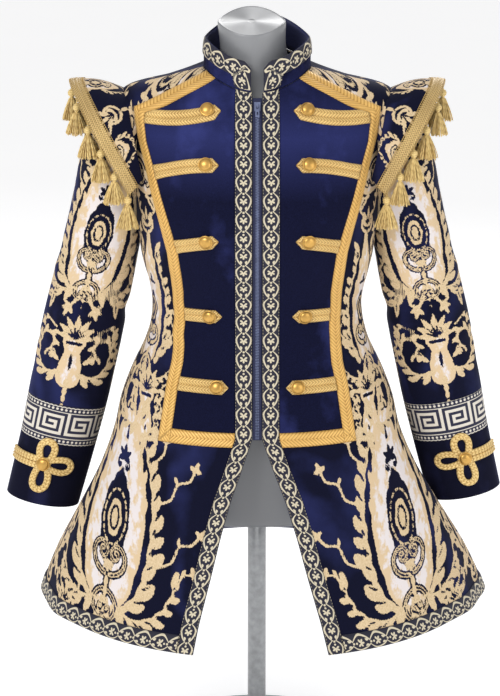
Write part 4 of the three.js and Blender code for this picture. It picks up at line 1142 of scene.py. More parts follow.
class Wire:
    """A value in a node tree, with arithmetic written as in a formula."""

    def __init__(self, tree: NodeTree, socket: Socket | float) -> None:
        """Hold a socket or a plain number."""
        self.tree = tree
        self.socket = socket

    def run(self, kind: str, *others: "Wire | float", clamp: bool = False) -> "Wire":
        """Put a math node on this value.

        Args:
            kind: The node's operation.
            others: Its further inputs.
            clamp: Whether the result is kept between nought and one.

        Returns:
            The node's output.
        """
        node = self.tree.nodes.new("ShaderNodeMath")
        node.operation = kind
        node.use_clamp = clamp
        for socket, value in zip(node.inputs, (self, *others)):
            value = value.socket if isinstance(value, Wire) else value
            if isinstance(value, (int, float)):
                socket.default_value = value
            else:
                self.tree.links.new(value, socket)
        return Wire(self.tree, node.outputs[0])

    def __add__(self, other: "Wire | float") -> "Wire":
        """Sum."""
        return self.run("ADD", other)

    def __sub__(self, other: "Wire | float") -> "Wire":
        """Difference."""
        return self.run("SUBTRACT", other)

    def __mul__(self, other: "Wire | float") -> "Wire":
        """Product."""
        return self.run("MULTIPLY", other)

    def __truediv__(self, other: "Wire | float") -> "Wire":
        """Quotient."""
        return self.run("DIVIDE", other)

    def __abs__(self) -> "Wire":
        """Size without its sign."""
        return self.run("ABSOLUTE")

    def wave(self, repeat: float) -> "Wire":
        """Sine with a repeat in the value's own unit."""
        return (self * (2 * math.pi / repeat)).run("SINE")

    def saw(self, repeat: float) -> "Wire":
        """Place within a repeat, from minus to plus half of it."""
        return (self / repeat + 0.5).run("FRACT") * repeat - repeat / 2

    def clamped(self) -> "Wire":
        """The value kept between nought and one."""
        return self.run("ADD", 0.0, clamp=True)

    def most(self, other: "Wire | float") -> "Wire":
        """The greater value."""
        return self.run("MAXIMUM", other)

    def away(self, other: "Wire") -> "Wire":
        """Length of the vector of both values."""
        return (self * self + other * other).run("SQRT")

    def under(self, edge: "Wire | float", soft: float = 0.35) -> "Wire":
        """One where the value is under an edge, nought above it, with a soft step."""
        return ((self - edge) / -soft + 0.5).clamped()


class Tree:
    """A material's or a group's node tree while it is built."""

    def __init__(self, tree: NodeTree) -> None:
        """Hold the tree."""
        self.tree = tree

    def node(self, kind: str, **settings: object) -> Node:
        """Add a node with settings.

        Args:
            kind: The node's type.
            settings: Its properties.

        Returns:
            The node.
        """
        node = self.tree.nodes.new(kind)
        for key, value in settings.items():
            setattr(node, key, value)
        return node

    def put(self, socket: Socket, value: "Wire | float | Colour | Socket") -> None:
        """Link a value to a socket, or set it there.

        Args:
            socket: The socket.
            value: A value, a colour or another socket.
        """
        value = value.socket if isinstance(value, Wire) else value
        if isinstance(value, Socket):
            self.tree.links.new(value, socket)
        elif isinstance(value, tuple) and len(value) == 3 and socket.type == "RGBA":
            socket.default_value = (*value, 1.0)
        else:
            socket.default_value = value

    def wire(self, socket: Socket) -> Wire:
        """A socket as a value."""
        return Wire(self.tree, socket)

    def split(self, vector: Socket) -> list[Wire]:
        """Split a vector.

        Args:
            vector: The vector.

        Returns:
            Its three numbers.
        """
        parts = self.node("ShaderNodeSeparateXYZ")
        self.put(parts.inputs[0], vector)
        return [self.wire(socket) for socket in parts.outputs]

    def cloth(self) -> Socket:
        """The piece's own cloth coordinates, along and across."""
        return self.node("ShaderNodeAttribute", attribute_name="cloth").outputs["Vector"]

    def held(self, name: str) -> Wire:
        """A number that the piece's points hold."""
        return self.wire(self.node("ShaderNodeAttribute", attribute_name=name).outputs["Fac"])

    def place(self) -> Socket:
        """Object coordinates."""
        return self.node("ShaderNodeTexCoord").outputs["Object"]

    def scaled(self, vector: Socket, scale: Colour) -> Socket:
        """A vector stretched along its axes.

        Args:
            vector: The vector.
            scale: Scale along each axis.

        Returns:
            The stretched vector.
        """
        mapping = self.node("ShaderNodeMapping")
        self.tree.links.new(vector, mapping.inputs["Vector"])
        mapping.inputs["Scale"].default_value = scale
        return mapping.outputs[0]

    def noise(self, vector: Socket, scale: float, detail: float = 2.0, rough: float = 0.5) -> Wire:
        """Soft noise of a vector.

        Args:
            vector: The vector.
            scale: Its scale.
            detail: Its octaves.
            rough: Weight of the fine octaves.

        Returns:
            The noise, from nought to one.
        """
        noise = self.node("ShaderNodeTexNoise")
        self.tree.links.new(vector, noise.inputs["Vector"])
        noise.inputs["Scale"].default_value = scale
        noise.inputs["Detail"].default_value = detail
        noise.inputs["Roughness"].default_value = rough
        return self.wire(noise.outputs["Fac"])

    def cells(self, vector: Socket) -> Wire:
        """A number of its own for each unit cell of a vector.

        Args:
            vector: The vector.

        Returns:
            The cell's number, from nought to one.
        """
        floor = self.node("ShaderNodeVectorMath", operation="FLOOR")
        self.tree.links.new(vector, floor.inputs[0])
        noise = self.node("ShaderNodeTexWhiteNoise", noise_dimensions="2D")
        self.tree.links.new(floor.outputs[0], noise.inputs["Vector"])
        return self.wire(noise.outputs["Value"])

    def mix(self, share: Wire | float, low: object, high: object) -> Socket:
        """Mix two colours.

        Args:
            share: How much of the second.
            low: First colour or socket.
            high: Second colour or socket.

        Returns:
            The mixed colour.
        """
        mix = self.node("ShaderNodeMix", data_type="RGBA")
        for socket, value in ((mix.inputs["Factor"], share), (mix.inputs[6], low), (mix.inputs[7], high)):
            self.put(socket, value)
        return mix.outputs[2]

    def group(self, source: NodeTree, **values: object) -> Node:
        """Place a group with its own values.

        Args:
            source: The group.
            values: Its inputs, with an underscore for each space.

        Returns:
            The node.
        """
        node = self.node("ShaderNodeGroup", node_tree=source)
        for key, value in values.items():
            self.put(node.inputs[key.replace("_", " ")], value)
        return node

    def bump(self, height: Wire | Socket, strength: float, distance: float) -> Socket:
        """A normal from a height.

        Args:
            height: The height.
            strength: Its strength.
            distance: Its reach in metres.

        Returns:
            The normal.
        """
        bump_node = self.node("ShaderNodeBump")
        bump_node.inputs["Strength"].default_value = strength
        bump_node.inputs["Distance"].default_value = distance
        self.put(bump_node.inputs["Height"], height)
        return bump_node.outputs[0]


def shade_group(name: str, sizes: dict[str, float]) -> Tree:
    """Make an empty shader group that turns a vector and its sizes into a shade and a height.

    Args:
        name: Its name.
        sizes: Its number inputs, each with a default.

    Returns:
        The group's tree, whose ends are the nodes called in and out.
    """
    tree = bpy.data.node_groups.new(name, "ShaderNodeTree")
    tree.interface.new_socket(name="Vector", in_out="INPUT", socket_type="NodeSocketVector")
    for key, value in sizes.items():
        socket = tree.interface.new_socket(name=key, in_out="INPUT", socket_type="NodeSocketFloat")
        socket.default_value = value
    for key in ("Shade", "Height"):
        tree.interface.new_socket(name=key, in_out="OUTPUT", socket_type="NodeSocketFloat")
    tree.nodes.new("NodeGroupInput").name = "in"
    tree.nodes.new("NodeGroupOutput").name = "out"
    return Tree(tree)


class Effects:
    """The shader groups that several finishes share."""

    def __init__(self) -> None:
        """Build each group once."""
        self.nap = self._nap()
        self.weave = self._weave()
        self.plait = self._plait()

    def _nap(self) -> NodeTree:
        """Draw painted sheen patches of a pile, light blotches that stand in for its sheen, and the pile's
        fine grain.

        Returns:
            The group.
        """
        art = shade_group("pile nap", {"Patch Scale": 9.0})
        inside, out = art.tree.nodes["in"].outputs, art.tree.nodes["out"].inputs
        patch = art.node("ShaderNodeTexNoise")
        art.put(patch.inputs["Vector"], art.scaled(inside["Vector"], (1.0, 1.0, 0.38)))
        art.put(patch.inputs["Scale"], inside["Patch Scale"])
        patch.inputs["Detail"].default_value = 1.6
        patch.inputs["Distortion"].default_value = 0.9
        # Painted sheen: light patches over the dark pile where it would catch the light
        sheen_patches = (art.wire(patch.outputs["Fac"]) - 0.50) * 4.6
        fibre = art.noise(inside["Vector"], 900.0, 1.0)
        soft = art.noise(inside["Vector"], 60.0, 3.0)
        shade = (sheen_patches + (soft - 0.5) * 0.6).clamped()
        art.put(out["Shade"], (shade * 0.86 + fibre * 0.24 - 0.05).clamped())
        art.put(out["Height"], soft * 0.7 + fibre * 0.3)
        return art.tree

    def _weave(self) -> NodeTree:
        """Draw over and under threads of a woven cloth, in millimetres of cloth.

        Returns:
            The group.
        """
        art = shade_group("woven threads", {"Pitch": 1.2})
        inside, out = art.tree.nodes["in"].outputs, art.tree.nodes["out"].inputs
        pitch = art.wire(inside["Pitch"])
        u, v = (value / pitch for value in art.split(inside["Vector"])[:2])
        warp, weft = abs((u * math.pi).run("SINE")), abs((v * math.pi).run("SINE"))
        check = ((u.run("FLOOR") + v.run("FLOOR")) / 2.0).run("FRACT") * 2.0
        height = warp * (check * 0.6 + 0.4) + weft * (check * -0.6 + 1.0)
        grain = art.noise(inside["Vector"], 0.9, 2.0)
        art.put(out["Height"], height * 0.5)
        # Painted shade: the shade is darker where the threads dip under each other, with random grain over it
        art.put(out["Shade"], (height * 0.32 + grain * 0.5 + 0.08).clamped())
        return art.tree

    def _plait(self) -> NodeTree:
        """Draw the herringbone of a plaited braid, along and across in millimetres.

        Returns:
            The group.
        """
        art = shade_group("plaited braid", {"Pitch": 2.8, "Half": 5.0})
        inside, out = art.tree.nodes["in"].outputs, art.tree.nodes["out"].inputs
        along, across = art.split(inside["Vector"])[:2]
        pitch, half = art.wire(inside["Pitch"]), art.wire(inside["Half"])
        rib = abs(across.run("PINGPONG", half))
        strand = ((along + rib * 1.05) / pitch).run("FRACT")
        round_strand = (strand * math.pi).run("SINE").run("POWER", 0.7)
        valley = (rib / half * math.pi).run("SINE").run("POWER", 0.5)
        grain = art.noise(inside["Vector"], 1.6, 2.0)
        art.put(out["Height"], round_strand * 0.7 + valley * 0.3)
        # Painted shade: darker between the strands, in the middle groove and at the edges, with random grain
        # over it
        art.put(out["Shade"], (round_strand * 0.85 + valley * 0.3 + grain * 0.3 - 0.42).clamped())
        return art.tree


class Dressing(Tree):
    """A material's tree while it is built, with its shader."""

    def __init__(self, name: str) -> None:
        """Make the material and find its shader.

        Args:
            name: The material's name.
        """
        self.made = bpy.data.materials.new(name)
        self.made.use_nodes = True
        super().__init__(self.made.node_tree)
        self.shader = self.tree.nodes["Principled BSDF"]

    def dressed(self, colour: Socket, rough: Wire | float, normal: Socket | None = None,
                **constants: object) -> Material:
        """Link the looks to the shader.

        Args:
            colour: Its base colour.
            rough: Its roughness.
            normal: Its normal, the mesh's own where none is given.
            constants: What is set on its own sockets, named with an underscore for each space.

        Returns:
            The finished material.
        """
        self.put(self.shader.inputs["Base Color"], colour)
        self.put(self.shader.inputs["Roughness"], rough)
        if normal is not None:
            self.put(self.shader.inputs["Normal"], normal)
        for key, value in constants.items():
            self.put(self.shader.inputs[key.replace("_", " ")], value)
        return self.made


@dataclass(frozen=True)
class VelvetFinish:
    """Navy pile cloth with painted sheen patches and a painted highlight band across the upper front."""

    effects: Effects
    name: str = "navy velvet"
    dark: Colour = (0.0015, 0.0019, 0.0105)
    # light is the colour of the painted sheen patches and of the painted highlight band
    light: Colour = (0.036, 0.046, 0.20)
    patch: float = 4.6
    sheen: float = 0.05
    # Height in metres of a painted highlight band, lighter across the upper front as if the light fell there,
    # and its reach
    chest: float = 0.985
    chest_tall: float = 0.085

    def build(self) -> Material:
        """Build the material.

        Returns:
            The material.
        """
        art = Dressing(self.name)
        nap = art.group(self.effects.nap, Vector=art.place(), Patch_Scale=self.patch)
        # Painted highlight: the velvet is made lighter in a band across the upper front
        chest = (abs(art.split(art.place())[2] - self.chest) / -self.chest_tall + 1.0).clamped()
        shade = (art.wire(nap.outputs["Shade"]) + chest * 0.42).clamped()
        return art.dressed(art.mix(shade, self.dark, self.light), shade * -0.2 + 0.88,
                           art.bump(nap.outputs["Height"], 0.35, 0.0012), Sheen_Weight=self.sheen,
                           Sheen_Roughness=0.32, Sheen_Tint=(0.42, 0.46, 0.95), Specular_IOR_Level=0.10)


@dataclass(frozen=True)
class LiningFinish:
    """Smooth dark twill lining."""

    effects: Effects
    colour: Colour = (0.012, 0.015, 0.055)
    light: Colour = (0.032, 0.038, 0.12)

    def build(self) -> Material:
        """Build the material.

        Returns:
            The material.
        """
        art = Dressing("navy lining")
        wave = art.node("ShaderNodeTexWave", bands_direction="DIAGONAL")
        art.put(wave.inputs["Vector"], art.place())
        art.put(wave.inputs["Scale"], 260.0)
        twill, cloud = art.wire(wave.outputs["Fac"]), art.noise(art.place(), 7.0, 3.0)
        return art.dressed(art.mix(cloud * 0.8 + twill * 0.2, self.colour, self.light), cloud * 0.2 + 0.42,
                           art.bump(twill, 0.2, 0.0004), Sheen_Weight=0.15)


@dataclass(frozen=True)
class BrocadeFinish:
    """Navy pile ground with ivory and beige woven ornament."""

    effects: Effects
    dark: Colour = (0.0018, 0.0023, 0.012)
    light: Colour = (0.017, 0.022, 0.092)
    ivory: Colour = (0.77, 0.71, 0.70)
    ivory_low: Colour = (0.70, 0.53, 0.33)
    beige: Colour = (0.77, 0.61, 0.39)
    beige_low: Colour = (0.46, 0.31, 0.15)
    thread: float = 1.45

    def build(self) -> Material:
        """Build the material.

        Returns:
            The material.
        """
        art = Dressing("navy and ivory brocade")
        cloth = art.cloth()
        steps = art.cells(art.scaled(cloth, (1 / self.thread, 0.62 / self.thread, 1.0)))
        fine = art.cells(art.scaled(cloth, (1 / self.thread, 1 / self.thread, 1.0)))
        nap = art.group(self.effects.nap, Vector=art.place(), Patch_Scale=12.0)
        weave = art.group(self.effects.weave, Vector=cloth, Pitch=1.1)
        # The pile ground carries the painted sheen patches, lighter where the pile would catch the light
        ground = art.mix(art.wire(nap.outputs["Shade"]), self.dark, self.light)
        streak = art.noise(art.scaled(cloth, (1.0, 0.55, 1.0)), 0.10, 3.0, 0.62)
        inner = (art.held(Layer.FIELD.value) / 20.0).clamped()
        rim = art.held(Layer.FIELD.value).under(3.4, 1.6)
        tone = ((streak - 0.60) * 8.0 + inner * 1.9 + fine * 0.25 - rim * 2.0).clamped()
        ivory = art.mix(tone, self.ivory_low, self.ivory)
        # Painted shade: the beige threads are darker where they dip under each other, with random tone per
        # cell
        thread = (art.wire(weave.outputs["Shade"]) * 0.7 + fine * 0.4 + 0.05).clamped()
        beige = art.mix(thread, self.beige_low, self.beige)
        edge = (steps - 0.5) * 1.3
        masks = {layer: (art.held(layer.value) + edge).under(0.0, -0.3) for layer in Layer}
        colour = art.mix(masks[Layer.FIELD], ground, ivory)
        colour = art.mix(masks[Layer.SHADE], colour, ground)
        colour = art.mix(masks[Layer.RAISED], colour, beige)
        colour = art.mix(masks[Layer.LINE], colour, ground)
        shade_off, line_off = (masks[layer] * -1.0 + 1.0 for layer in (Layer.SHADE, Layer.LINE))
        woven = (masks[Layer.FIELD] * shade_off).most(masks[Layer.RAISED]) * line_off
        height = woven * 0.7 + art.wire(weave.outputs["Height"]) * woven * 0.35
        return art.dressed(colour, woven * -0.16 + 0.86, art.bump(height, 0.4, 0.0008), Sheen_Weight=0.08,
                           Sheen_Roughness=0.4, Sheen_Tint=(0.6, 0.62, 0.9), Specular_IOR_Level=0.12)


@dataclass(frozen=True)
class ChainTrimFinish:
    """Woven ribbon with linked ovals that hold small palmettes."""

    effects: Effects
    repeat: float = 27.0
    ground: Colour = (0.0035, 0.0035, 0.012)
    ground_light: Colour = (0.016, 0.017, 0.05)
    cream: Colour = (0.72, 0.64, 0.47)
    cream_low: Colour = (0.34, 0.28, 0.17)

    def build(self) -> Material:
        """Build the material.

        Returns:
            The material.
        """
        art = Dressing("chain trim")
        along, across, _ = art.split(art.cloth())
        side = abs(across)
        a = along.saw(self.repeat)
        lean = a + ((a * (2 * math.pi / self.repeat)).run("COSINE") + 1.0) * 1.3
        bow = (lean * (math.pi / self.repeat)).run("COSINE").most(0.0).run("POWER", 0.85)
        line = abs(side - (bow * 8.2 + 2.4)).under(bow * 0.5 + 0.85)
        end = a * -1.0 + self.repeat / 2
        curl = abs((end - 4.4).away(side - 5.0) - 2.2).under(0.8) * (side - 5.2).under(0.0)
        bud = (end - 5.0).away(side - 3.6).under(1.7).most((a + self.repeat / 2 - 1.6).away(side).under(1.6))
        petal, turn = (a + 1.6).away(side), side.run("ARCTAN2", a + 1.6)
        lobes = abs((turn * 3.0).run("COSINE")).run("POWER", 0.7) * 4.4 + 1.4
        palmette = petal.under(lobes, 0.5) * turn.under(2.5, 0.2)
        dot = (a + 7.4).away(side).under(1.5)
        pattern = line.most(curl).most(bud).most(palmette).most(dot)
        weave = art.group(self.effects.weave, Vector=art.cloth(), Pitch=0.9)
        thread = art.wire(weave.outputs["Shade"])
        # Painted shade: the cream and the ground are darker where the threads dip, mixed with random grain
        cream = art.mix(thread * 1.3, self.cream_low, self.cream)
        ground = art.mix(thread * 0.5, self.ground, self.ground_light)
        height = pattern * 0.8 + art.wire(weave.outputs["Height"]) * 0.3
        return art.dressed(art.mix(pattern, ground, cream), pattern * -0.2 + 0.75,
                           art.bump(height, 0.6, 0.0007), Sheen_Weight=0.1)


@dataclass(frozen=True)
class KeyBandFinish:
    """Woven band with a running key between dotted scallop borders."""

    effects: Effects
    cell: float = 4.5
    tall: float = 63.0
    ground: Colour = (0.005, 0.006, 0.022)
    ground_light: Colour = (0.02, 0.022, 0.07)
    ivory: Colour = (0.80, 0.75, 0.66)
    ivory_low: Colour = (0.50, 0.44, 0.36)

    def build(self) -> Material:
        """Build the material.

        Returns:
            The material.
        """
        art = Dressing("key band")
        around, up, _ = art.split(art.cloth())
        cell = self.cell
        u = (around / (10 * cell)).run("FRACT") * 10.0
        v = (up - 11.3) / cell
        boxes = [(0, 1, 0, 9), (0, 9, 8, 9), (8, 9, 2, 9), (2, 9, 2, 3), (2, 3, 2, 7), (2, 7, 6, 7),
                 (6, 7, 4, 7), (4, 7, 4, 5), (-1, 11, 0, 1)]
        key = None
        for x0, x1, y0, y1 in boxes:
            wide = abs(u - (x0 + x1) / 2).under((x1 - x0) / 2, 0.12)
            box = wide * abs(v - (y0 + y1) / 2).under((y1 - y0) / 2, 0.12)
            key = box if key is None else key.most(box)
        middle = abs(up - self.tall / 2)
        panel = middle.under(21.6)
        dots = around.saw(6.6).away(middle - 25.6).under(1.9)
        scallop = abs(middle - 29.2 - abs(around.wave(13.2)) * 1.1).under(0.75)
        light = (panel * (key * -1.0 + 1.0)).most(dots).most(scallop)
        weave = art.group(self.effects.weave, Vector=art.cloth(), Pitch=1.0)
        thread = art.wire(weave.outputs["Shade"])
        # Painted shade: the ivory and the ground are darker where the threads dip, mixed with random grain
        ivory = art.mix(thread * 1.2, self.ivory_low, self.ivory)
        ground = art.mix(thread * 0.5, self.ground, self.ground_light)
        height = light * 0.6 + art.wire(weave.outputs["Height"]) * 0.3
        return art.dressed(art.mix(light, ground, ivory), light * -0.15 + 0.78,
                           art.bump(height, 0.5, 0.0007), Sheen_Weight=0.1)


@dataclass(frozen=True)
class BraidFinish:
    """Plaited gold cord or braid."""

    effects: Effects
    name: str = "gold braid"
    light: Colour = (0.90, 0.56, 0.16)
    dark: Colour = (0.42, 0.20, 0.03)
    pitch: float = 2.8
    half: float = 5.0
    metallic: float = 0.2

    def build(self) -> Material:
        """Build the material.

        Returns:
            The material.
        """
        art = Dressing(self.name)
        plait = art.group(self.effects.plait, Vector=art.cloth(), Pitch=self.pitch, Half=self.half)
        shade, patch = art.wire(plait.outputs["Shade"]), art.noise(art.place(), 30.0, 2.0)
        # Painted shade: the dark colour fills the grooves between strands, and the random patches darken it
        # too
        tone = (shade * 0.95 + (patch - 0.5) * 0.4).clamped()
        return art.dressed(art.mix(tone, self.dark, self.light), shade * -0.15 + 0.52,
                           art.bump(plait.outputs["Height"], 0.8, 0.0009), Metallic=self.metallic,
                           Sheen_Weight=0.08)


@dataclass(frozen=True)
class MetalFinish:
    """Polished or satin metal with fine handling marks."""

    name: str
    colour: Colour
    rough: float = 0.22
    metallic: float = 1.0

    def build(self) -> Material:
        """Build the material.

        Returns:
            The material.
        """
        art = Dressing(self.name)
        cloud = art.noise(art.place(), 90.0, 3.0)
        marks = art.noise(art.scaled(art.place(), (1.0, 1.0, 6.0)), 700.0, 2.0)
        dull = tuple(0.62 * c for c in self.colour)
        return art.dressed(art.mix((cloud - 0.35) * 1.6, dull, self.colour),
                           cloud * 0.16 + marks * 0.08 + (self.rough - 0.1),
                           art.bump(marks, 0.06, 0.0002), Metallic=self.metallic)


@dataclass(frozen=True)
class FormFinish:
    """Moulded semi-gloss shell of the dress form."""

    colour: Colour = (0.26, 0.265, 0.275)

    def build(self) -> Material:
        """Build the material.

        Returns:
            The material.
        """
        art = Dressing("form grey")
        cloud, grain = art.noise(art.place(), 5.0, 2.0), art.noise(art.place(), 650.0, 2.0)
        dull = tuple(0.8 * c for c in self.colour)
        return art.dressed(art.mix(cloud, dull, self.colour), cloud * 0.12 + 0.3,
                           art.bump(grain, 0.05, 0.0002), Coat_Weight=0.25, Coat_Roughness=0.2)


@dataclass(frozen=True)
class TapeFinish:
    """Woven zip tape."""

    effects: Effects
    colour: Colour = (0.014, 0.019, 0.075)

    def build(self) -> Material:
        """Build the material.

        Returns:
            The material.
        """
        art = Dressing("zip tape")
        weave = art.group(self.effects.weave, Vector=art.cloth(), Pitch=0.8)
        # Painted shade: the tape is darker where the threads dip, mixed with random grain
        shade, dull = art.wire(weave.outputs["Shade"]), tuple(0.45 * c for c in self.colour)
        return art.dressed(art.mix(shade, dull, self.colour), shade * -0.1 + 0.75,
                           art.bump(weave.outputs["Height"], 0.6, 0.0004))


class Wardrobe:
    """Every finish of the object, built once."""

    def __init__(self) -> None:
        """Build the finishes."""
        effects = Effects()
        self.velvet = VelvetFinish(effects).build()
        self.cuff = VelvetFinish(
            effects, "cuff velvet", (0.003, 0.0034, 0.012), (0.014, 0.016, 0.06), 12.0, 0.2).build()
        self.lining = LiningFinish(effects).build()
        self.brocade = BrocadeFinish(effects).build()
        self.trim = ChainTrimFinish(effects).build()
        self.key_band = KeyBandFinish(effects).build()
        self.braid = BraidFinish(effects, half=10.0, pitch=5.4).build()
        self.bar = BraidFinish(
            effects, "gold bar braid", (0.90, 0.63, 0.23), (0.34, 0.17, 0.03), 4.4, 5.0).build()
        self.cord = BraidFinish(
            effects, "gold knot cord", (0.95, 0.71, 0.30), (0.44, 0.25, 0.06), 5.2, 2.4).build()
        self.gimp = BraidFinish(
            effects, "antique gold gimp", (0.80, 0.57, 0.23), (0.20, 0.11, 0.025), 3.8, 2.83).build()
        self.thread = BraidFinish(
            effects, "gold thread", (0.97, 0.74, 0.31), (0.56, 0.37, 0.12), 2.6, 1.2, 0.1).build()
        self.gold = MetalFinish("gold metal", (0.86, 0.50, 0.13), 0.34, 0.85).build()
        self.zip_metal = MetalFinish("zip metal", (0.24, 0.28, 0.46), 0.34, 0.5).build()
        self.tape = TapeFinish(effects).build()
        self.form = FormFinish().build()
        self.stand = MetalFinish("stand grey", (0.42, 0.43, 0.44), 0.3, 0.9).build()


# The garment


@dataclass
class Panels:
    """The fronts and backs in brocade, with a lining, each a sheet of cloth open at the armhole."""

    body: BodySurface
    sleeve: SleeveSurface
    wardrobe: Wardrobe
    wall: float = 2.2
    step: int = 5
    rows: int = 66
    front_cells: int = 26
    back_cells: int = 30
    hole_stations: tuple[float, float] = (0.6, 5.5)
    hole_inset: float = 5
    hole_foot: float = 850

    def armhole(self, side: Side, turns: Array, places: Array) -> Array:
        """Find the cells that lie inside the sleeve's hollow.

        Args:
            side: Which side.
            turns: Turns of the coarse corners, signed.
            places: Places of the coarse rows.

        Returns:
            For each coarse cell, whether it is kept.
        """
        corners = self.body.point(turns, places[:, None])
        x, y, z = side.value * corners[..., 0], corners[..., 1], corners[..., 2]
        low, high = self.hole_stations
        stations = np.linspace(low, high, 120)
        rows = blend_rows(self.sleeve.stations, stations)
        at = blend_rows(self.sleeve.stations, np.clip(np.interp(-z, -rows[:, 0], stations), low, high))
        _, x_mid, half_x, y_mid, half_y, _ = np.moveaxis(at, -1, 0)
        reach = np.hypot((x - x_mid) / (half_x - self.hole_inset), (y - y_mid) / (half_y - self.hole_inset))
        inside = (reach < 1) & (z < self.sleeve.stations[1, 0]) & (z > self.hole_foot)
        return ~(inside[:-1, :-1] & inside[1:, :-1] & inside[1:, 1:] & inside[:-1, 1:])

    def build_one(self, side: Side, front: bool) -> Piece:
        """Build a front or a back.

        Args:
            side: Which side.
            front: Whether it is a front.

        Returns:
            The finished panel.
        """
        cells = self.front_cells if front else self.back_cells
        places = self.body.places(self.rows * self.step + 1)
        marks = self.body.marks(places)
        share = np.linspace(0, 1, cells * self.step + 1)
        start = marks["edge"] if front else np.full(len(places), math.pi / 2)
        end = math.pi / 2 if front else math.pi - SEAM_TURN
        turns = start[:, None] + (end - start[:, None]) * share
        signed = side.value * turns
        outer = self.body.point(signed, places[:, None])
        coarse = signed[::self.step, ::self.step]
        inner = self.body.point(coarse, places[::self.step, None], -self.wall)
        run = np.stack([np.interp(row, marks["turns"], line) for row, line in zip(turns, marks["run"])])
        across = run if front else marks["run"][:, -1:] - run
        level = np.full_like(places, math.pi / 4 if front else 0.75 * math.pi)
        up = np.broadcast_to(self.body.skin(level, places)[:, 2:], across.shape)
        fields = (body_front_art() if front else body_back_art()).paint(across, up)
        fields["cloth"] = cloth_map(across, up)
        word = "front" if front else "back"
        keep = self.armhole(side, coarse, places[::self.step])
        piece = shell(f"{word}_{side.tag}_cloth", outer, inner, self.step,
                      (self.wardrobe.brocade, self.wardrobe.lining), fields, keep)
        settle(piece, "brocade", f"{word}_{side.tag}")
        return piece

    def build(self) -> list[Piece]:
        """Build all four panels."""
        return [self.build_one(side, front) for side in Side for front in (True, False)]


@dataclass
class Sleeves:
    """The sleeves in brocade, their key bands and their velvet cuffs."""

    sleeve: SleeveSurface
    wardrobe: Wardrobe
    wall: float = 2.2
    step: int = 5
    rows: int = 46
    cells: int = 29
    band_rows: int = 5
    cuff_rows: int = 9
    seam: float = 0.005
    gap: float = 0.5
    radius: float = 56

    def first_stations(self, side: Side, turns: Array) -> Array:
        """Where each line down the sleeve comes out of the body.

        Args:
            side: Which sleeve.
            turns: Turns of the lines.

        Returns:
            The station at which each line starts.
        """
        body = self.sleeve.body
        ring = np.linspace(0, 2 * math.pi, 241)
        net = body.point(ring[None, :], np.linspace(0, 10, 240)[:, None], self.gap)
        index = np.arange(net[..., 0].size).reshape(-1, len(ring))
        quads = np.stack([index[:-1, :-1], index[1:, :-1], index[1:, 1:], index[:-1, 1:]], -1).reshape(-1, 4)
        tree = BVHTree.FromPolygons(net.reshape(-1, 3).tolist(), quads.tolist())

        def inside(station: float, turn: float) -> bool:
            """Tell whether a point of the sleeve is under the body's cloth.

            Args:
                station: The point's station.
                turn: Its turn.

            Returns:
                True where it is hidden.
            """
            spot = Vector(self.sleeve.point(side, np.array(station), np.array(turn)))
            found, normal, _, _ = tree.find_nearest(spot)
            away = spot - found
            outwards = Vector((found.x, found.y - 10, 0.25 * max(found.z - 900, 0)))
            return away.dot(normal if normal.dot(outwards) > 0 else -normal) < 0

        starts = []
        for turn in turns:
            samples = np.arange(0, 7.0, 0.1)
            hidden = [station for station in samples if inside(station, turn)]
            low = max(hidden) if hidden else 0.0
            high = low + 0.1
            for _ in range(12):
                mid = (low + high) / 2
                low, high = (mid, high) if inside(mid, turn) else (low, mid)
            starts.append(high)
        return np.array(starts)

    def tube(self, name: str, side: Side, starts: Array, end: float, rows: int, finish: Material,
             band: bool = False) -> Piece:
        """Build a length of sleeve from a start on each line to one station.

        Args:
            name: Name of the piece.
            side: Which sleeve.
            starts: First station of each line.
            end: Last station.
            rows: Coarse rows.
            finish: Material of the outer face.
            band: Whether cloth coordinates run around and up from the foot.

        Returns:
            The piece.
        """
        turns = np.linspace(-math.pi, math.pi, self.cells * self.step + 1)
        share = np.linspace(0, 1, rows * self.step + 1)[:, None]
        stations = starts + (end - starts) * share
        outer = self.sleeve.point(side, stations, turns[None, :])
        coarse = slice(None, None, self.step)
        inner = self.sleeve.point(side, stations[coarse, coarse], turns[None, coarse], -self.wall)
        if band:
            run = run_of(outer[-1])
            down = np.stack([run_of(outer[:, j]) for j in range(outer.shape[1])], axis=1)
            across, up, fields = run - run[-1] / 2, down[-1:] - down, {}
        else:
            across = self.radius * turns[None, :] + 0 * stations
            up = blend_rows(self.sleeve.stations, stations)[..., 0]
            fields = sleeve_art().paint(across, up)
        fields["cloth"] = cloth_map(across, up)
        return shell(name, outer, inner, self.step, (finish, self.wardrobe.lining), fields)

    def build(self) -> list[Piece]:
        """Build both sleeves with their bands and cuffs.

        Returns:
            The six pieces.
        """
        pieces = []
        sleeve, wear, seam = self.sleeve, self.wardrobe, self.seam
        turns = np.linspace(-math.pi, math.pi, self.cells * self.step + 1)
        for side in Side:
            starts = self.first_stations(side, turns)
            cloth = self.tube(f"sleeve_{side.tag}_cloth", side, starts, sleeve.band_start - seam,
                              self.rows, wear.brocade)
            starts = np.full_like(turns, sleeve.band_start + seam)
            band = self.tube(f"key_band_{side.tag}_cloth", side, starts, sleeve.cuff_start - seam,
                             self.band_rows, wear.key_band, band=True)
            starts = np.full_like(turns, sleeve.cuff_start + seam)
            cuff = self.tube(f"cuff_{side.tag}_cloth", side, starts, sleeve.last, self.cuff_rows,
                             wear.cuff, band=True)
            settle(cloth, "brocade", f"sleeve_{side.tag}")
            settle(band, "key_band", f"key_band_{side.tag}")
            settle(cuff, "velvet", f"cuff_{side.tag}")
            pieces += [cloth, band, cuff]
        return pieces


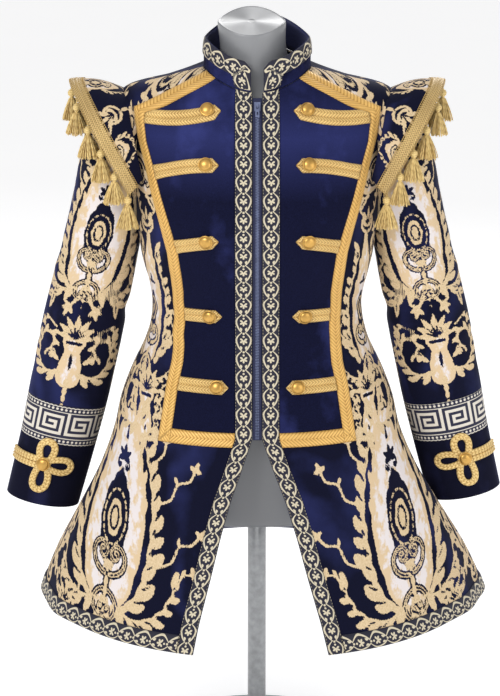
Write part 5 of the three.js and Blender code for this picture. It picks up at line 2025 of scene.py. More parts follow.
@dataclass
class Facings:
    """Velvet plastrons, woven chain trims and gold braid, sewn flat on the fronts and round the hem."""

    body: BodySurface
    wardrobe: Wardrobe
    low: float = 0.36
    velvet_ply: float = 1.1
    trim_ply: float = 1.5
    braid_ply: float = 2.4
    waist_top: float = 512
    waist_foot: float = 492
    inset: float = 0.0011
    edge_gap: float = 0.0004
    trim_rows: int = 305
    plastron_rows: int = 165
    side_rows: int = 217
    hem_cells: int = 92
    waist_cells: int = 11
    # How far the stitches sit inside the edges of the trim and of the braid
    trim_inset: float = 1.1
    braid_inset: float = 0.9

    def strip(self, name: str, side: Side, places: Array, first: Array, last: Array, lifts: Array,
              finish: Material, wide: float | None = None) -> Piece:
        """Build a flat strip between two lines of turns.

        Args:
            name: Name of the piece.
            side: Which side.
            places: Its rows.
            first: Turn of its first edge on each row.
            last: Turn of its last edge on each row.
            lifts: Height above the cloth at each fine column.
            finish: Its material.
            wide: Width of the strip, its own where none is given.

        Returns:
            The piece.
        """
        share = np.linspace(0, 1, len(lifts))
        turns = side.value * (first[:, None] + (last - first)[:, None] * share)
        outer = self.body.point(turns, places[:, None], self.low + lifts[None, :] + 0 * turns)
        inner = self.body.point(turns[::STEP, ::STEP], places[::STEP, None], self.low)
        down = run_of(outer[:, outer.shape[1] // 2])
        across = np.stack([run_of(row) - run_of(row)[-1] / 2 for row in outer])
        if wide is not None:
            across = across * wide / (2 * np.maximum(across[:, -1:], 1e-6))
        return shell(name, outer, inner, STEP, (finish,) * 2, {"cloth": cloth_map(down[:, None], across)})

    def build(self) -> list[Piece]:
        """Build every facing of both sides.

        Returns:
            The pieces of the left side, then those of the right.
        """
        pieces = []
        body, pad = self.body, self.inset
        waist_a, waist_b = body.place_at(self.waist_top), body.place_at(self.waist_foot)
        trim_lifts = self.trim_ply * np.array([0.2, *[1.0] * 7, 0.2])
        velvet_lifts = self.velvet_ply * np.array([0.5, *[1.0] * 39, 0.5])
        for side in Side:
            rows = body.places(self.trim_rows)
            marks = body.marks(rows)
            trim = self.strip(f"front_trim_{side.tag}_ribbon", side, rows, marks["edge"] + self.edge_gap,
                              marks["trim"] - pad, trim_lifts, self.wardrobe.trim, body.trim_wide)
            settle(trim, "woven_trim", f"front_trim_{side.tag}")
            top = body.places(self.plastron_rows, waist_a - 0.004)
            marks = body.marks(top)
            plastron = self.strip(f"plastron_{side.tag}_velvet", side, top, marks["trim"] + pad,
                                  marks["inner"] - pad, velvet_lifts, self.wardrobe.velvet)
            settle(plastron, "velvet", f"plastron_{side.tag}")
            pieces += [trim, plastron, self.hem(side), self.braid(side, waist_a, waist_b),
                       *self.stitches(side, rows)]
        return pieces

    def stitches(self, side: Side, rows: Array) -> list[Piece]:
        """Sew rows of small stitches along both edges of the front trim and of the braid.

        Args:
            side: Which side.
            rows: Rows of the front from the neck to the hem.

        Returns:
            Two pieces for the trim and two for the braid.
        """
        marks, made = self.body.marks(rows), []
        everywhere, above = np.ones(len(rows), bool), rows < self.body.place_at(self.waist_top)
        trim_step = self.trim_inset * (marks["trim"] - marks["edge"]) / self.body.trim_wide
        braid_step = self.braid_inset * (marks["outer"] - marks["inner"]) / self.body.braid_wide
        lines = [
            ("front_trim", marks["edge"] + trim_step, everywhere),
            ("front_trim_inner", marks["trim"] - trim_step, everywhere),
            ("braid_inner", marks["inner"] + braid_step, above),
            ("braid_outer", marks["outer"] - braid_step, above),
        ]
        for word, turns, keep in lines:
            gold = "braid" in word
            lift = self.low + (0.6 * self.braid_ply if gold else self.trim_ply)
            path = self.body.point(side.value * turns[keep], rows[keep], lift)
            ups = unit(self.body.point(side.value * turns[keep], rows[keep], lift + 1) - path)
            finish = self.wardrobe.thread if gold else self.wardrobe.trim
            row = grow(row_tree(Bead.STITCH), f"{word}_stitches_{side.tag}", path, finish, ups,
                       Spacing=0.0046, Long=0.0028, Wide=0.0007, Tall=0.0005, Uneven=0.2)
            made.append(settle(row, "gold_thread" if gold else "woven_trim"))
        return made

    def hem(self, side: Side) -> Piece:
        """Build the chain trim along the hem, from the front trim to the centre back.

        Args:
            side: Which side.

        Returns:
            The ribbon.
        """
        half = self.body.trim_wide / 2
        start = self.body.place_at(self.body.hem + self.body.trim_wide, 0.0)
        rows = np.linspace(start, self.body.last, 9)
        first = self.body.marks(rows)["trim"] + self.inset
        last = np.full(len(rows), math.pi - SEAM_TURN)
        share = np.linspace(0, 1, STEP * self.hem_cells + 1)
        turns = side.value * (first[:, None] + (last - first)[:, None] * share)
        lifts = self.trim_ply * np.array([0.25, *[1.0] * 7, 0.2])[:, None]
        outer = self.body.point(turns, rows[:, None], self.low + lifts + 0 * turns)
        inner = self.body.point(turns[::STEP, ::STEP], rows[::STEP, None], self.low)
        cloth = cloth_map(run_of(outer[4]), np.linspace(-half, half, 9)[:, None])
        piece = shell(f"hem_trim_{side.tag}_ribbon", outer, inner, STEP, (self.wardrobe.trim,) * 2,
                      {"cloth": cloth})
        settle(piece, "woven_trim", f"hem_trim_{side.tag}")
        return piece

    def braid(self, side: Side, waist_a: float, waist_b: float) -> Piece:
        """Build the gold braid down the shoulder and side and in along the waist, mitred at the corner.

        Args:
            side: Which side.
            waist_a: Place of the waist braid's upper edge.
            waist_b: Place of its lower edge.

        Returns:
            The braid.
        """
        half, share = self.body.braid_wide / 2, np.linspace(0, 1, 9)
        low_rows = np.linspace(waist_a, waist_b, 9)
        rows = np.concatenate([self.body.places(self.side_rows, waist_a), low_rows[1:]])
        marks = self.body.marks(rows)
        turns = marks["inner"][:, None] + (marks["outer"] - marks["inner"])[:, None] * share
        run = run_of(self.body.point(side.value * turns[:, 4], rows))
        above = np.broadcast_to((run[-1] - run)[:, None], turns.shape)
        across = np.broadcast_to(half * (2 * share - 1), turns.shape)
        turned = above < half - across
        down = cloth_map(np.where(turned, across, run[:, None]), np.where(turned, above - half, across))
        marks = self.body.marks(low_rows)
        reach = marks["trim"] + self.inset - marks["inner"]
        low_share = np.linspace(0, 1, STEP * self.waist_cells + 1)
        low_turns = marks["inner"][:, None] + reach[:, None] * low_share
        low_line = self.body.point(side.value * low_turns, low_rows[:, None])
        level = cloth_map(np.stack([run_of(row) for row in low_line]), half * (1 - 2 * share)[:, None])
        pieces = []
        lengths = (("side", turns, rows, down), ("waist", low_turns, low_rows, level))
        for word, at_turns, at_rows, cloth in lengths:
            swell = np.interp(np.abs(cloth[..., 1]) / half, [0, 0.12, 0.8, 1], [0.86, 1, 0.95, 0.3])
            lift = self.low + self.braid_ply * swell
            outer = self.body.point(side.value * at_turns, at_rows[:, None], lift)
            inner = self.body.point(side.value * at_turns, at_rows[:, None], self.low)
            pieces.append(shell(f"braid_{word}_{side.tag}", outer, inner, 1, (self.wardrobe.braid,) * 2,
                                {"cloth": cloth}))
        with bpy.context.temp_override(active_object=pieces[0], selected_editable_objects=pieces):
            bpy.ops.object.join()
        piece = pieces[0]
        piece.name = f"braid_{side.tag}_plait"
        settle(piece, "gold_braid", f"braid_{side.tag}")
        return piece


@dataclass
class Frogs:
    """Pointed double-braid bars across the plastron, each with a domed button."""

    body: BodySurface
    wardrobe: Wardrobe
    bars: Array = field(default_factory=lambda: pairs([
        [972, 961, 5, 52, 71], [899, 884, -4, 55, 73], [794, 781, -1, 55, 72], [676, 675, 0, 51, 68],
        [574, 575, 0, 42, 58],
    ]))
    wide: float = 20
    point_long: float = 9
    lift: float = 1.5
    ply: float = 3.3
    button_radius: float = 10.4
    button_tall: float = 7.2

    def bar(self, side: Side, number: int) -> Piece:
        """Build a bar.

        Args:
            side: Which side.
            number: Which bar, from nought at the top.

        Returns:
            The bar.
        """
        z_tip, z_root, sag, tip, _ = self.bars[number]
        fine = self.body.places(400)
        marks = self.body.marks(fine)
        line = self.body.skin(marks["inner"], fine)
        root = float(np.interp(-z_root, -line[:, 2], line[:, 0]))
        shoulder = tip + self.point_long
        stops = np.concatenate([np.linspace(root, shoulder, 26), np.linspace(shoulder, tip, 6)[1:]])
        across = np.array([-1, -0.93, -0.72, -0.5, -0.28, -0.07, 0, 0.07, 0.28, 0.5, 0.72, 0.93, 1])
        ridge = np.array([0.2, 0.62, 0.95, 1.0, 0.9, 0.45, 0.3, 0.45, 0.9, 1.0, 0.95, 0.62, 0.2])
        share = (root - stops) / (root - tip)
        half = self.wide / 2 * np.clip((stops - tip) / self.point_long * 0.92 + 0.08, 0, 1)
        middle = z_root + (z_tip - z_root) * share - sag * np.sin(math.pi * share)
        z = middle[:, None] + across[None, :] * half[:, None]
        shift = np.interp(-z, -line[:, 2], line[:, 0]) - 1.0 - root
        x = stops[:, None] + shift * np.clip(1 - share[:, None] * 6, 0, 1)
        turn, place = self.body.spot(x, z)
        rise = self.ply * ridge * (0.45 + 0.55 * np.clip(half / 8, 0, 1))[:, None]
        top = self.body.point(side.value * turn, place, self.lift + rise)
        foot = self.body.point(side.value * turn, place, self.lift - 0.1 + 0 * x)
        rings = np.concatenate([top, foot[:, ::-1]], axis=1)
        points, faces = loft(rings)
        flat = cloth_map((root - stops)[:, None], across[None, :] * half[:, None])
        cloth = np.concatenate([flat, flat[:, ::-1]], axis=1).reshape(-1, 3)
        name = f"bar_{number + 1}_{side.tag}"
        piece = make_mesh(f"{name}_plait", points, faces, [self.wardrobe.bar], fields={"cloth": cloth})
        return settle(piece, "gold_braid", name)

    def dome(self) -> Array:
        """Rings of a domed button with a rolled rim on a short shank.

        Returns:
            The rings about +Z, from the seat up.
        """
        r, h = self.button_radius, self.button_tall
        profile = [(0.02, 0.0), (0.4 * r, 0.0), (0.42 * r, 1.0), (0.9 * r, 1.25), (0.985 * r, 1.5), (r, 1.95),
                   (0.985 * r, 2.4), (0.93 * r, 2.65), (0.88 * r, 2.6), (0.86 * r, 2.75)]
        for angle in np.radians([14, 28, 42, 56, 70, 82, 89]):
            profile.append((0.86 * r * math.cos(angle), 2.75 + (h - 2.75) * math.sin(angle)))
        return lathe(profile, 32)

    def button(self, name: str, seat: Array, normal: Array) -> Piece:
        """A button on its seat, named for the node that it replaces.

        Args:
            name: The CAD node's name.
            seat: Where it sits.
            normal: Its axis.

        Returns:
            The button.
        """
        points, faces = loft(aimed(self.dome(), seat, normal))
        piece = make_mesh(f"{name}_dome", points, faces, [self.wardrobe.gold])
        return settle(piece, "gold_metal", name)

    def build(self) -> list[Piece]:
        """Build the bars and buttons of both sides.

        Returns:
            The pieces of the left side, then those of the right.
        """
        pieces = []
        for side in Side:
            for number, (z, _, _, _, x) in enumerate(self.bars):
                pieces.append(self.bar(side, number))
                turn, place = self.body.spot(np.array(x), np.array(z))
                low = self.body.point(side.value * turn, place, 1.0)
                seat = self.body.point(side.value * turn, place, self.lift + self.ply - 0.2)
                pieces.append(self.button(f"button_{number + 1}_{side.tag}", seat, unit(seat - low)))
        return pieces


@dataclass
class Collar:
    """The velvet stand collar and the chain trim round its upper half and down its front edges."""

    surface: CollarSurface
    wardrobe: Wardrobe
    wall: float = 2.2
    low: float = 0.36
    ply: float = 1.5
    wide: float = 25
    cells: int = 64

    def build(self) -> list[Piece]:
        """Build the collar and its trim.

        Returns:
            The collar and its trim.
        """
        surface = self.surface
        edge = math.asin(surface.gap_half / surface.top[3])
        turns = np.linspace(edge, 2 * math.pi - edge, STEP * self.cells + 1)
        ring = surface.point(turns, np.full_like(turns, 0.7))
        run = run_of(ring)
        from_end = np.minimum(run, run[-1] - run)
        cut = 1 - surface.corner * (1 - smoothstep(from_end, 0.0, surface.corner_wide)) ** 1.4
        share = surface.foot + (cut[None, :] - surface.foot) * np.linspace(0, 1, 21)[:, None]
        grid = np.broadcast_to(turns, share.shape)
        outer = surface.point(grid, share)
        inner = surface.point(grid[::STEP, ::STEP], share[::STEP, ::STEP], -self.wall)
        band = shell("collar_velvet", outer, inner, STEP, (self.wardrobe.velvet, self.wardrobe.lining))
        settle(band, "velvet", "collar")
        return [band, self.trim(turns, run, cut)]

    def trim(self, turns: Array, run: Array, cut: Array) -> Piece:
        """The chain trim, one ribbon that turns down at both front corners.

        Args:
            turns: Turns of the collar's columns.
            run: Length along the collar at each column.
            cut: Share at which the collar ends at the top.

        Returns:
            The ribbon.
        """
        surface, wide = self.surface, self.wide
        rows = np.linspace(0, 1, 21)
        foot = np.where(np.minimum(run, run[-1] - run) < wide, 0.08, surface.trim_foot)
        share = foot + (cut - foot)[None, :] * rows[:, None]
        grid = np.broadcast_to(turns, share.shape)
        lifts = np.full(share.shape, self.ply)
        lifts[[0, -1]] *= 0.3
        lifts[:, [0, -1]] *= 0.3
        outer = surface.point(grid, share, self.low + lifts)
        inner = surface.point(grid[::STEP, ::STEP], share[::STEP, ::STEP], self.low)
        foot_line = surface.point(turns, 0 * turns)
        tall = np.linalg.norm(surface.point(turns, np.ones_like(turns)) - foot_line, axis=1)
        from_end = np.broadcast_to(np.minimum(run, run[-1] - run)[None, :], share.shape)
        below = (cut[None, :] - share) * tall[None, :]
        upright = from_end < below
        along = np.where(upright, -below, from_end)
        across = np.where(upright, from_end, below) - wide / 2
        piece = shell("collar_trim_ribbon", outer, inner, STEP, (self.wardrobe.trim,) * 2,
                      {"cloth": cloth_map(along, across)})
        settle(piece, "woven_trim", "collar_trim")
        return piece


class Bench(Tree):
    """A geometry node tree while it is built, with named inputs for its sizes."""

    def __init__(self, name: str, inputs: dict[str, float | int]) -> None:
        """Make the tree with a geometry input, its sizes, a material and one output.

        Args:
            name: Its name.
            inputs: Named inputs, each with a default, whole numbers for counts and seeds.
        """
        tree = bpy.data.node_groups.new(name, "GeometryNodeTree")
        tree.interface.new_socket(name="Geometry", in_out="INPUT", socket_type="NodeSocketGeometry")
        for key, value in inputs.items():
            kind = "NodeSocketInt" if isinstance(value, int) else "NodeSocketFloat"
            tree.interface.new_socket(name=key, in_out="INPUT", socket_type=kind).default_value = value
        tree.interface.new_socket(name="Material", in_out="INPUT", socket_type="NodeSocketMaterial")
        tree.interface.new_socket(name="Geometry", in_out="OUTPUT", socket_type="NodeSocketGeometry")
        super().__init__(tree)
        self.given = self.node("NodeGroupInput").outputs

    def made(self, kind: str, values: dict[str | int, object], **settings: object) -> Socket:
        """Add a node with its inputs set or linked.

        Args:
            kind: The node's type.
            values: Its inputs by name or number.
            settings: Its properties.

        Returns:
            Its first output.
        """
        node = self.node(kind, **settings)
        for key, value in values.items():
            self.put(node.inputs[key], value)
        return node.outputs[0]

    def kept(self, geometry: Socket, name: str, value: object, kind: str = "FLOAT") -> Socket:
        """Hold a value at each point.

        Args:
            geometry: The points.
            name: The value's name.
            value: The value.
            kind: Its data type.

        Returns:
            The points with the value.
        """
        values = {"Geometry": geometry, "Name": name, "Value": value}
        return self.made("GeometryNodeStoreNamedAttribute", values, data_type=kind, domain="POINT")

    def read(self, name: str, kind: str = "FLOAT") -> Socket:
        """A value that the points hold."""
        return self.made("GeometryNodeInputNamedAttribute", {"Name": name}, data_type=kind)

    def chance(self, low: float, high: float, extra: int) -> Socket:
        """A seeded random number for each point.

        Args:
            low: Least value.
            high: Greatest value.
            extra: Added to the seed.

        Returns:
            The number.
        """
        node = self.node("FunctionNodeRandomValue", data_type="FLOAT")
        node.inputs[2].default_value, node.inputs[3].default_value = low, high
        seed = self.wire(self.given["Seed"]) + float(extra)
        self.put(node.inputs["Seed"], seed)
        return node.outputs[1]

    def finish(self, geometry: Socket) -> NodeTree:
        """Realize the instances, set the material and close the tree.

        Args:
            geometry: What was built.

        Returns:
            The finished tree.
        """
        real = self.made("GeometryNodeRealizeInstances", {"Geometry": geometry})
        dressed = self.made("GeometryNodeSetMaterial", {"Geometry": real, "Material": self.given["Material"]})
        self.tree.links.new(dressed, self.node("NodeGroupOutput").inputs[0])
        return self.tree


class Bead(Enum):
    """The small shape that a row repeats."""

    STITCH = "stitch"
    LOOP = "loop"
    TOOTH = "tooth"


@cache
def row_tree(bead: Bead) -> NodeTree:
    """A tree that sets one small shape at even steps along a path.

    Args:
        bead: Which shape, made one unit long and scaled by the inputs.

    Returns:
        The tree, whose path is a line of edges that holds its upward direction as the attribute up.
    """
    bench = Bench(f"{bead.value} row", {
        "Spacing": 0.004, "Long": 0.002, "Wide": 0.001, "Tall": 0.001, "Uneven": 0.0, "Seed": 7})
    given = bench.given
    curve = bench.made("GeometryNodeMeshToCurve", {"Mesh": given["Geometry"]})
    even = bench.made(
        "GeometryNodeResampleCurve", {"Curve": curve, "Length": given["Spacing"]}, mode="LENGTH")
    if bead is Bead.LOOP:
        ring = bench.made("GeometryNodeCurvePrimitiveCircle", {"Resolution": 8, "Radius": 0.5})
        wire = bench.made("GeometryNodeCurvePrimitiveCircle", {"Resolution": 3, "Radius": 0.16})
        shape = bench.made("GeometryNodeCurveToMesh", {"Curve": ring, "Profile Curve": wire})
    elif bead is Bead.TOOTH:
        shape = bench.made("GeometryNodeMeshCylinder", {"Vertices": 6, "Radius": 0.5, "Depth": 1.0})
        shape = bench.made("GeometryNodeTransform", {"Geometry": shape, "Rotation": (math.pi / 2, 0, 0)})
    else:
        shape = bench.made("GeometryNodeMeshUVSphere", {"Segments": 6, "Rings": 4, "Radius": 0.5})
    up = bench.read("up", "FLOAT_VECTOR")
    tangent = bench.made("GeometryNodeInputTangent", {})
    upright = bench.made("FunctionNodeAlignRotationToVector", {"Vector": up}, axis="Z")
    turned = bench.made("FunctionNodeAlignRotationToVector", {"Rotation": upright, "Vector": tangent},
                        axis="X", pivot_axis="Z")
    jitter = bench.wire(bench.chance(-1.0, 1.0, 1)) * bench.wire(given["Uneven"]) + 1.0
    size = bench.made("ShaderNodeCombineXYZ", {
        0: jitter * bench.wire(given["Long"]), 1: given["Wide"], 2: given["Tall"]})
    row = bench.made("GeometryNodeInstanceOnPoints", {
        "Points": even, "Instance": shape, "Rotation": turned, "Scale": size})
    return bench.finish(row)


@cache
def tassel_tree() -> NodeTree:
    """Make a tree that hangs a flaring skirt of threads at each point.

    Returns:
        The tree.
    """
    bench = Bench("tassel threads", {
        "Threads": 54, "Length": 0.04, "Neck": 0.003, "Flare": 0.011, "Thread": 0.0006, "Seed": 3})
    given = bench.given
    ring = bench.made("GeometryNodeMeshCircle", {"Vertices": given["Threads"], "Radius": 0.001})
    marked = bench.kept(ring, "spread", bench.chance(0.12, 1.0, 1))
    angle = bench.wire(bench.made("GeometryNodeInputIndex", {})) * GOLDEN_ANGLE
    marked = bench.kept(marked, "angle", angle)
    line = bench.made("GeometryNodeCurvePrimitiveLine", {"Start": (0, 0, 0), "End": (0, 0, -1)})
    line = bench.made("GeometryNodeResampleCurve", {"Curve": line, "Count": 5})
    threads = bench.made("GeometryNodeInstanceOnPoints", {"Points": marked, "Instance": line})
    threads = bench.made("GeometryNodeRealizeInstances", {"Geometry": threads})
    share = bench.wire(bench.made("GeometryNodeSplineParameter", {}))
    spread, turn = bench.wire(bench.read("spread")), bench.wire(bench.read("angle"))
    neck, flare, length = (bench.wire(given[key]) for key in ("Neck", "Flare", "Length"))
    swell = (share * math.pi * 0.5).run("SINE")
    reach = (neck + (flare - neck) * (share * 0.55 + swell * 0.45)) * spread.run("POWER", 0.5)
    ragged = (spread * 37.0).run("FRACT") * 0.07 + 0.93
    place = bench.made("ShaderNodeCombineXYZ", {
        0: reach * turn.run("COSINE"), 1: reach * turn.run("SINE"), 2: share * length * ragged * -1.0})
    shaped = bench.made("GeometryNodeSetPosition", {"Geometry": threads, "Position": place})
    tone = bench.made("ShaderNodeCombineXYZ", {0: share * 9.0 + turn, 1: spread * 6.0})
    toned = bench.kept(shaped, "cloth", tone, "FLOAT_VECTOR")
    profile = bench.made("GeometryNodeCurvePrimitiveCircle", {"Resolution": 3, "Radius": given["Thread"]})
    skirt = bench.made("GeometryNodeCurveToMesh", {
        "Curve": toned, "Profile Curve": profile, "Fill Caps": True})
    spin = bench.made("ShaderNodeCombineXYZ", {2: bench.chance(0.0, 6.283, 5)})
    scale = bench.made("ShaderNodeCombineXYZ", {
        0: bench.chance(0.86, 1.06, 8), 1: bench.chance(0.86, 1.06, 9), 2: bench.chance(0.93, 1.0, 10)})
    hung = bench.made("GeometryNodeInstanceOnPoints", {
        "Points": given["Geometry"], "Instance": skirt, "Rotation": spin, "Scale": scale})
    return bench.finish(hung)


def grow(tree: NodeTree, name: str, points: Array, finish: Material, ups: Array | None = None,
         **values: float) -> Piece:
    """Run a tree on points or on a path and keep the result as a plain mesh.

    Args:
        tree: The geometry node tree.
        name: Name of the piece.
        points: Points in millimetres at table height.
        finish: The piece's material.
        ups: Upward direction at each point of a path, none for loose points.
        values: Values of the tree's named inputs.

    Returns:
        The piece.
    """
    base = make_mesh(f"{name}_path", points, [], [], fields={} if ups is None else {"up": ups})
    if ups is not None:
        base.data.edges.add(len(points) - 1)
        run = np.stack([np.arange(len(points) - 1), np.arange(1, len(points))], -1)
        base.data.edges.foreach_set("vertices", run.ravel())
        base.data.update()
    modifier = base.modifiers.new("grow", "NODES")
    modifier.node_group = tree
    sockets = {item.name: item.identifier for item in tree.interface.items_tree if item.in_out == "INPUT"}
    for key, value in {**values, "Material": finish}.items():
        modifier[sockets[key]] = value
    graph = bpy.context.evaluated_depsgraph_get()
    mesh = bpy.data.meshes.new_from_object(base.evaluated_get(graph))
    base.modifiers.clear()
    bpy.data.objects.remove(base)
    mesh.name = name
    mesh.polygons.foreach_set("use_smooth", [True] * len(mesh.polygons))
    piece = bpy.data.objects.new(name, mesh)
    bpy.context.scene.collection.objects.link(piece)
    return piece


@dataclass
class Wings:
    """Brocade shoulder wings edged with gimp, with a row of tassels below their edges."""

    surface: WingSurface
    wardrobe: Wardrobe
    rows: int = 64
    tassels: int = 11
    spread: float = 0.97
    cord: float = 2.4
    gap: float = 1.2
    stem: float = 9.0
    head: float = 6.0
    neck: float = 1.6
    length: float = 57.0
    flare: float = 17.5
    low: float = 0.36

    def art(self) -> Ornament:
        """Brocade of a wing, across from its seam and along its edge from the front.

        Returns:
            The ornament.
        """
        return arranged({
            rosette_motif: [(58, 40, 90, 0.62), (190, 46, 90, 0.72), (316, 42, 90, 0.62)],
            sprig_motif: [(116, 26, 24), (254, 34, -14), (370, 40, -90, 0.8)],
        })

    def strip(self, name: str, side: Side, first: Array, last: Array, lift: float, profile: Array,
              finish: Material, brocade: bool = False) -> Piece:
        """A strip of the wing between two shares.

        Args:
            name: Name of the piece.
            side: Which wing.
            first: Inner share at each coarse and fine row.
            last: Outer share at each row.
            lift: Height of its underside.
            profile: Height of its upper side over that at each fine column.
            finish: Its material.
            brocade: Whether the ornament is painted on it.

        Returns:
            The piece.
        """
        along = np.linspace(-1, 1, len(first))
        share = first[:, None] + (last - first)[:, None] * np.linspace(0, 1, len(profile))
        grid = np.broadcast_to(along[:, None], share.shape)
        outer = self.surface.point(side, grid, share, lift + profile + 0 * share)
        inner = self.surface.point(side, grid[::STEP, ::STEP], share[::STEP, ::STEP], lift)
        run = run_of(self.surface.point(side, along, np.full_like(along, 0.7)))
        across = np.stack([run_of(row) for row in outer])
        run = np.broadcast_to(run[:, None], across.shape)
        fields = self.art().paint(run, across) if brocade else {}
        fields["cloth"] = cloth_map(run, across if brocade else across - across[:, -1:] / 2)
        under = self.wardrobe.lining if brocade else finish
        return shell(name, outer, inner, STEP, (finish, under), fields)

    def tassel_heads(self, tops: Array) -> tuple[Array, Faces, Array]:
        """Stems and wound heads of the tassels.

        Args:
            tops: Where the tassels hang from.

        Returns:
            Points, faces and cloth coordinates.
        """
        h = self.head
        profile = [(0.1, 0.0), (1.0, 0.0), (1.05, -self.stem + 1.2)]
        for angle in np.radians(np.linspace(66, -58, 9)):
            wound = 1 + 0.05 * math.cos(angle * 14)
            profile.append((h * math.cos(angle) * wound, -self.stem - h + h * math.sin(angle)))
        foot = -self.stem - 2 * h
        profile += [(2.9, foot + 0.1), (3.4, foot - 0.6), (2.9, foot - 1.4), (3.3, foot - 2.0),
                    (2.4, foot - 2.6), (0.1, foot - 2.7)]
        sides = 14
        rings = lathe(profile, sides)
        points, faces = joined([loft(rings + top) for top in tops])
        around = np.tile(np.arange(sides) / sides * 30.0, len(profile) * len(tops))
        down = np.tile(np.repeat([height for _, height in profile], sides), len(tops))
        return points, faces, cloth_map(down, around * 0.33)

    def picots(self, side: Side, along: Array, inner_edge: Array) -> list[Piece]:
        """Set a row of small loops along both edges of the gimp.

        Args:
            side: Which wing.
            along: Places along the wing.
            inner_edge: Share of the gimp's inner edge at each place.

        Returns:
            The inner and the outer row.
        """
        rows, loops = [], row_tree(Bead.LOOP)
        for word, share, lift in (("inner", inner_edge - 0.012, 1.0), ("outer", np.ones_like(along), 0.6)):
            path = self.surface.point(side, along, share, lift)
            ups = unit(self.surface.point(side, along, share, lift + 1) - path)
            row = grow(loops, f"wing_picots_{word}_{side.tag}", path, self.wardrobe.thread, ups,
                       Spacing=0.0034, Long=0.0034, Wide=0.0034, Tall=0.0034, Uneven=0.12)
            rows.append(settle(row, "gold_gimp"))
        return rows

    def tassel_row(self, side: Side, along: Array) -> list[Piece]:
        """Hang the tassels from a cord under the wing's edge.

        Args:
            side: Which wing.
            along: Places along the wing.

        Returns:
            The cord with the tassels' heads, and their threads.
        """
        surface, sides = self.surface, 8
        drop = surface.ply + self.gap + self.cord / 2
        edge, before = np.ones_like(along), np.full_like(along, 0.9)
        line = surface.point(side, along, edge)
        out = unit(line - surface.point(side, along, before))
        up = unit(surface.point(side, along, edge, 1) - line)
        centre = surface.point(side, along, edge, -drop) - out * self.cord / 2
        turns = np.arange(sides) * 2 * math.pi / sides
        around = np.cos(turns)[None, :, None] * out[:, None] + np.sin(turns)[None, :, None] * up[:, None]
        rings = (centre[:, None] + self.cord / 2 * around)[::2]
        run = np.repeat(run_of(centre)[::2], sides)
        cord_cloth = cloth_map(run, np.tile(np.arange(sides) * 0.9, len(rings)))
        places = np.linspace(-self.spread, self.spread, self.tassels)
        edge, before = np.ones_like(places), np.full_like(places, 0.9)
        out = unit(surface.point(side, places, edge) - surface.point(side, places, before))
        tops = surface.point(side, places, edge, -drop) - out * self.cord / 2
        head_points, head_faces, head_cloth = self.tassel_heads(tops)
        points, faces = joined([loft(rings), (head_points, head_faces)])
        heads = make_mesh(f"tassels_{side.tag}_heads", points, faces, [self.wardrobe.thread],
                          fields={"cloth": np.concatenate([cord_cloth, head_cloth])})
        head_tall = self.stem + 2 * self.head + self.neck
        skirts = grow(tassel_tree(), f"tassels_{side.tag}_threads", tops - [0, 0, head_tall],
                      self.wardrobe.thread, Threads=84, Length=(self.length - head_tall) * MM, Neck=0.0044,
                      Flare=self.flare * MM, Thread=0.00078, Seed=3 + side.value)
        settle(heads, "gold_thread", f"tassels_{side.tag}")
        settle(skirts, "gold_thread", f"tassels_{side.tag}")
        return [heads, skirts]

    def build(self) -> list[Piece]:
        """Build both wings.

        Returns:
            Their cloth, gimp, picots and tassels.
        """
        pieces = []
        surface, fine = self.surface, STEP * self.rows + 1
        along = np.linspace(-1, 1, fine)
        inner_edge = surface.gimp_share(along)
        ridges = np.array(
            [0.3, 1.5, 0.9, 0.8, 1.7, 0.8, 0.9, 1.5, 2.1, 1.5, 0.9, 0.8, 1.7, 0.8, 0.9, 1.5, 0.3])
        for side in Side:
            cloth = self.strip(f"wing_{side.tag}_cloth", side, 0 * along, np.ones(fine), -surface.ply,
                               np.full(41, surface.ply), self.wardrobe.brocade, brocade=True)
            settle(cloth, "brocade", f"wing_{side.tag}")
            gimp = self.strip(f"wing_gimp_{side.tag}_braid", side, inner_edge, np.ones(fine), self.low,
                              ridges, self.wardrobe.gimp)
            settle(gimp, "gold_gimp", f"wing_gimp_{side.tag}")
            pieces += [cloth, gimp, *self.picots(side, along, inner_edge), *self.tassel_row(side, along)]
        return pieces


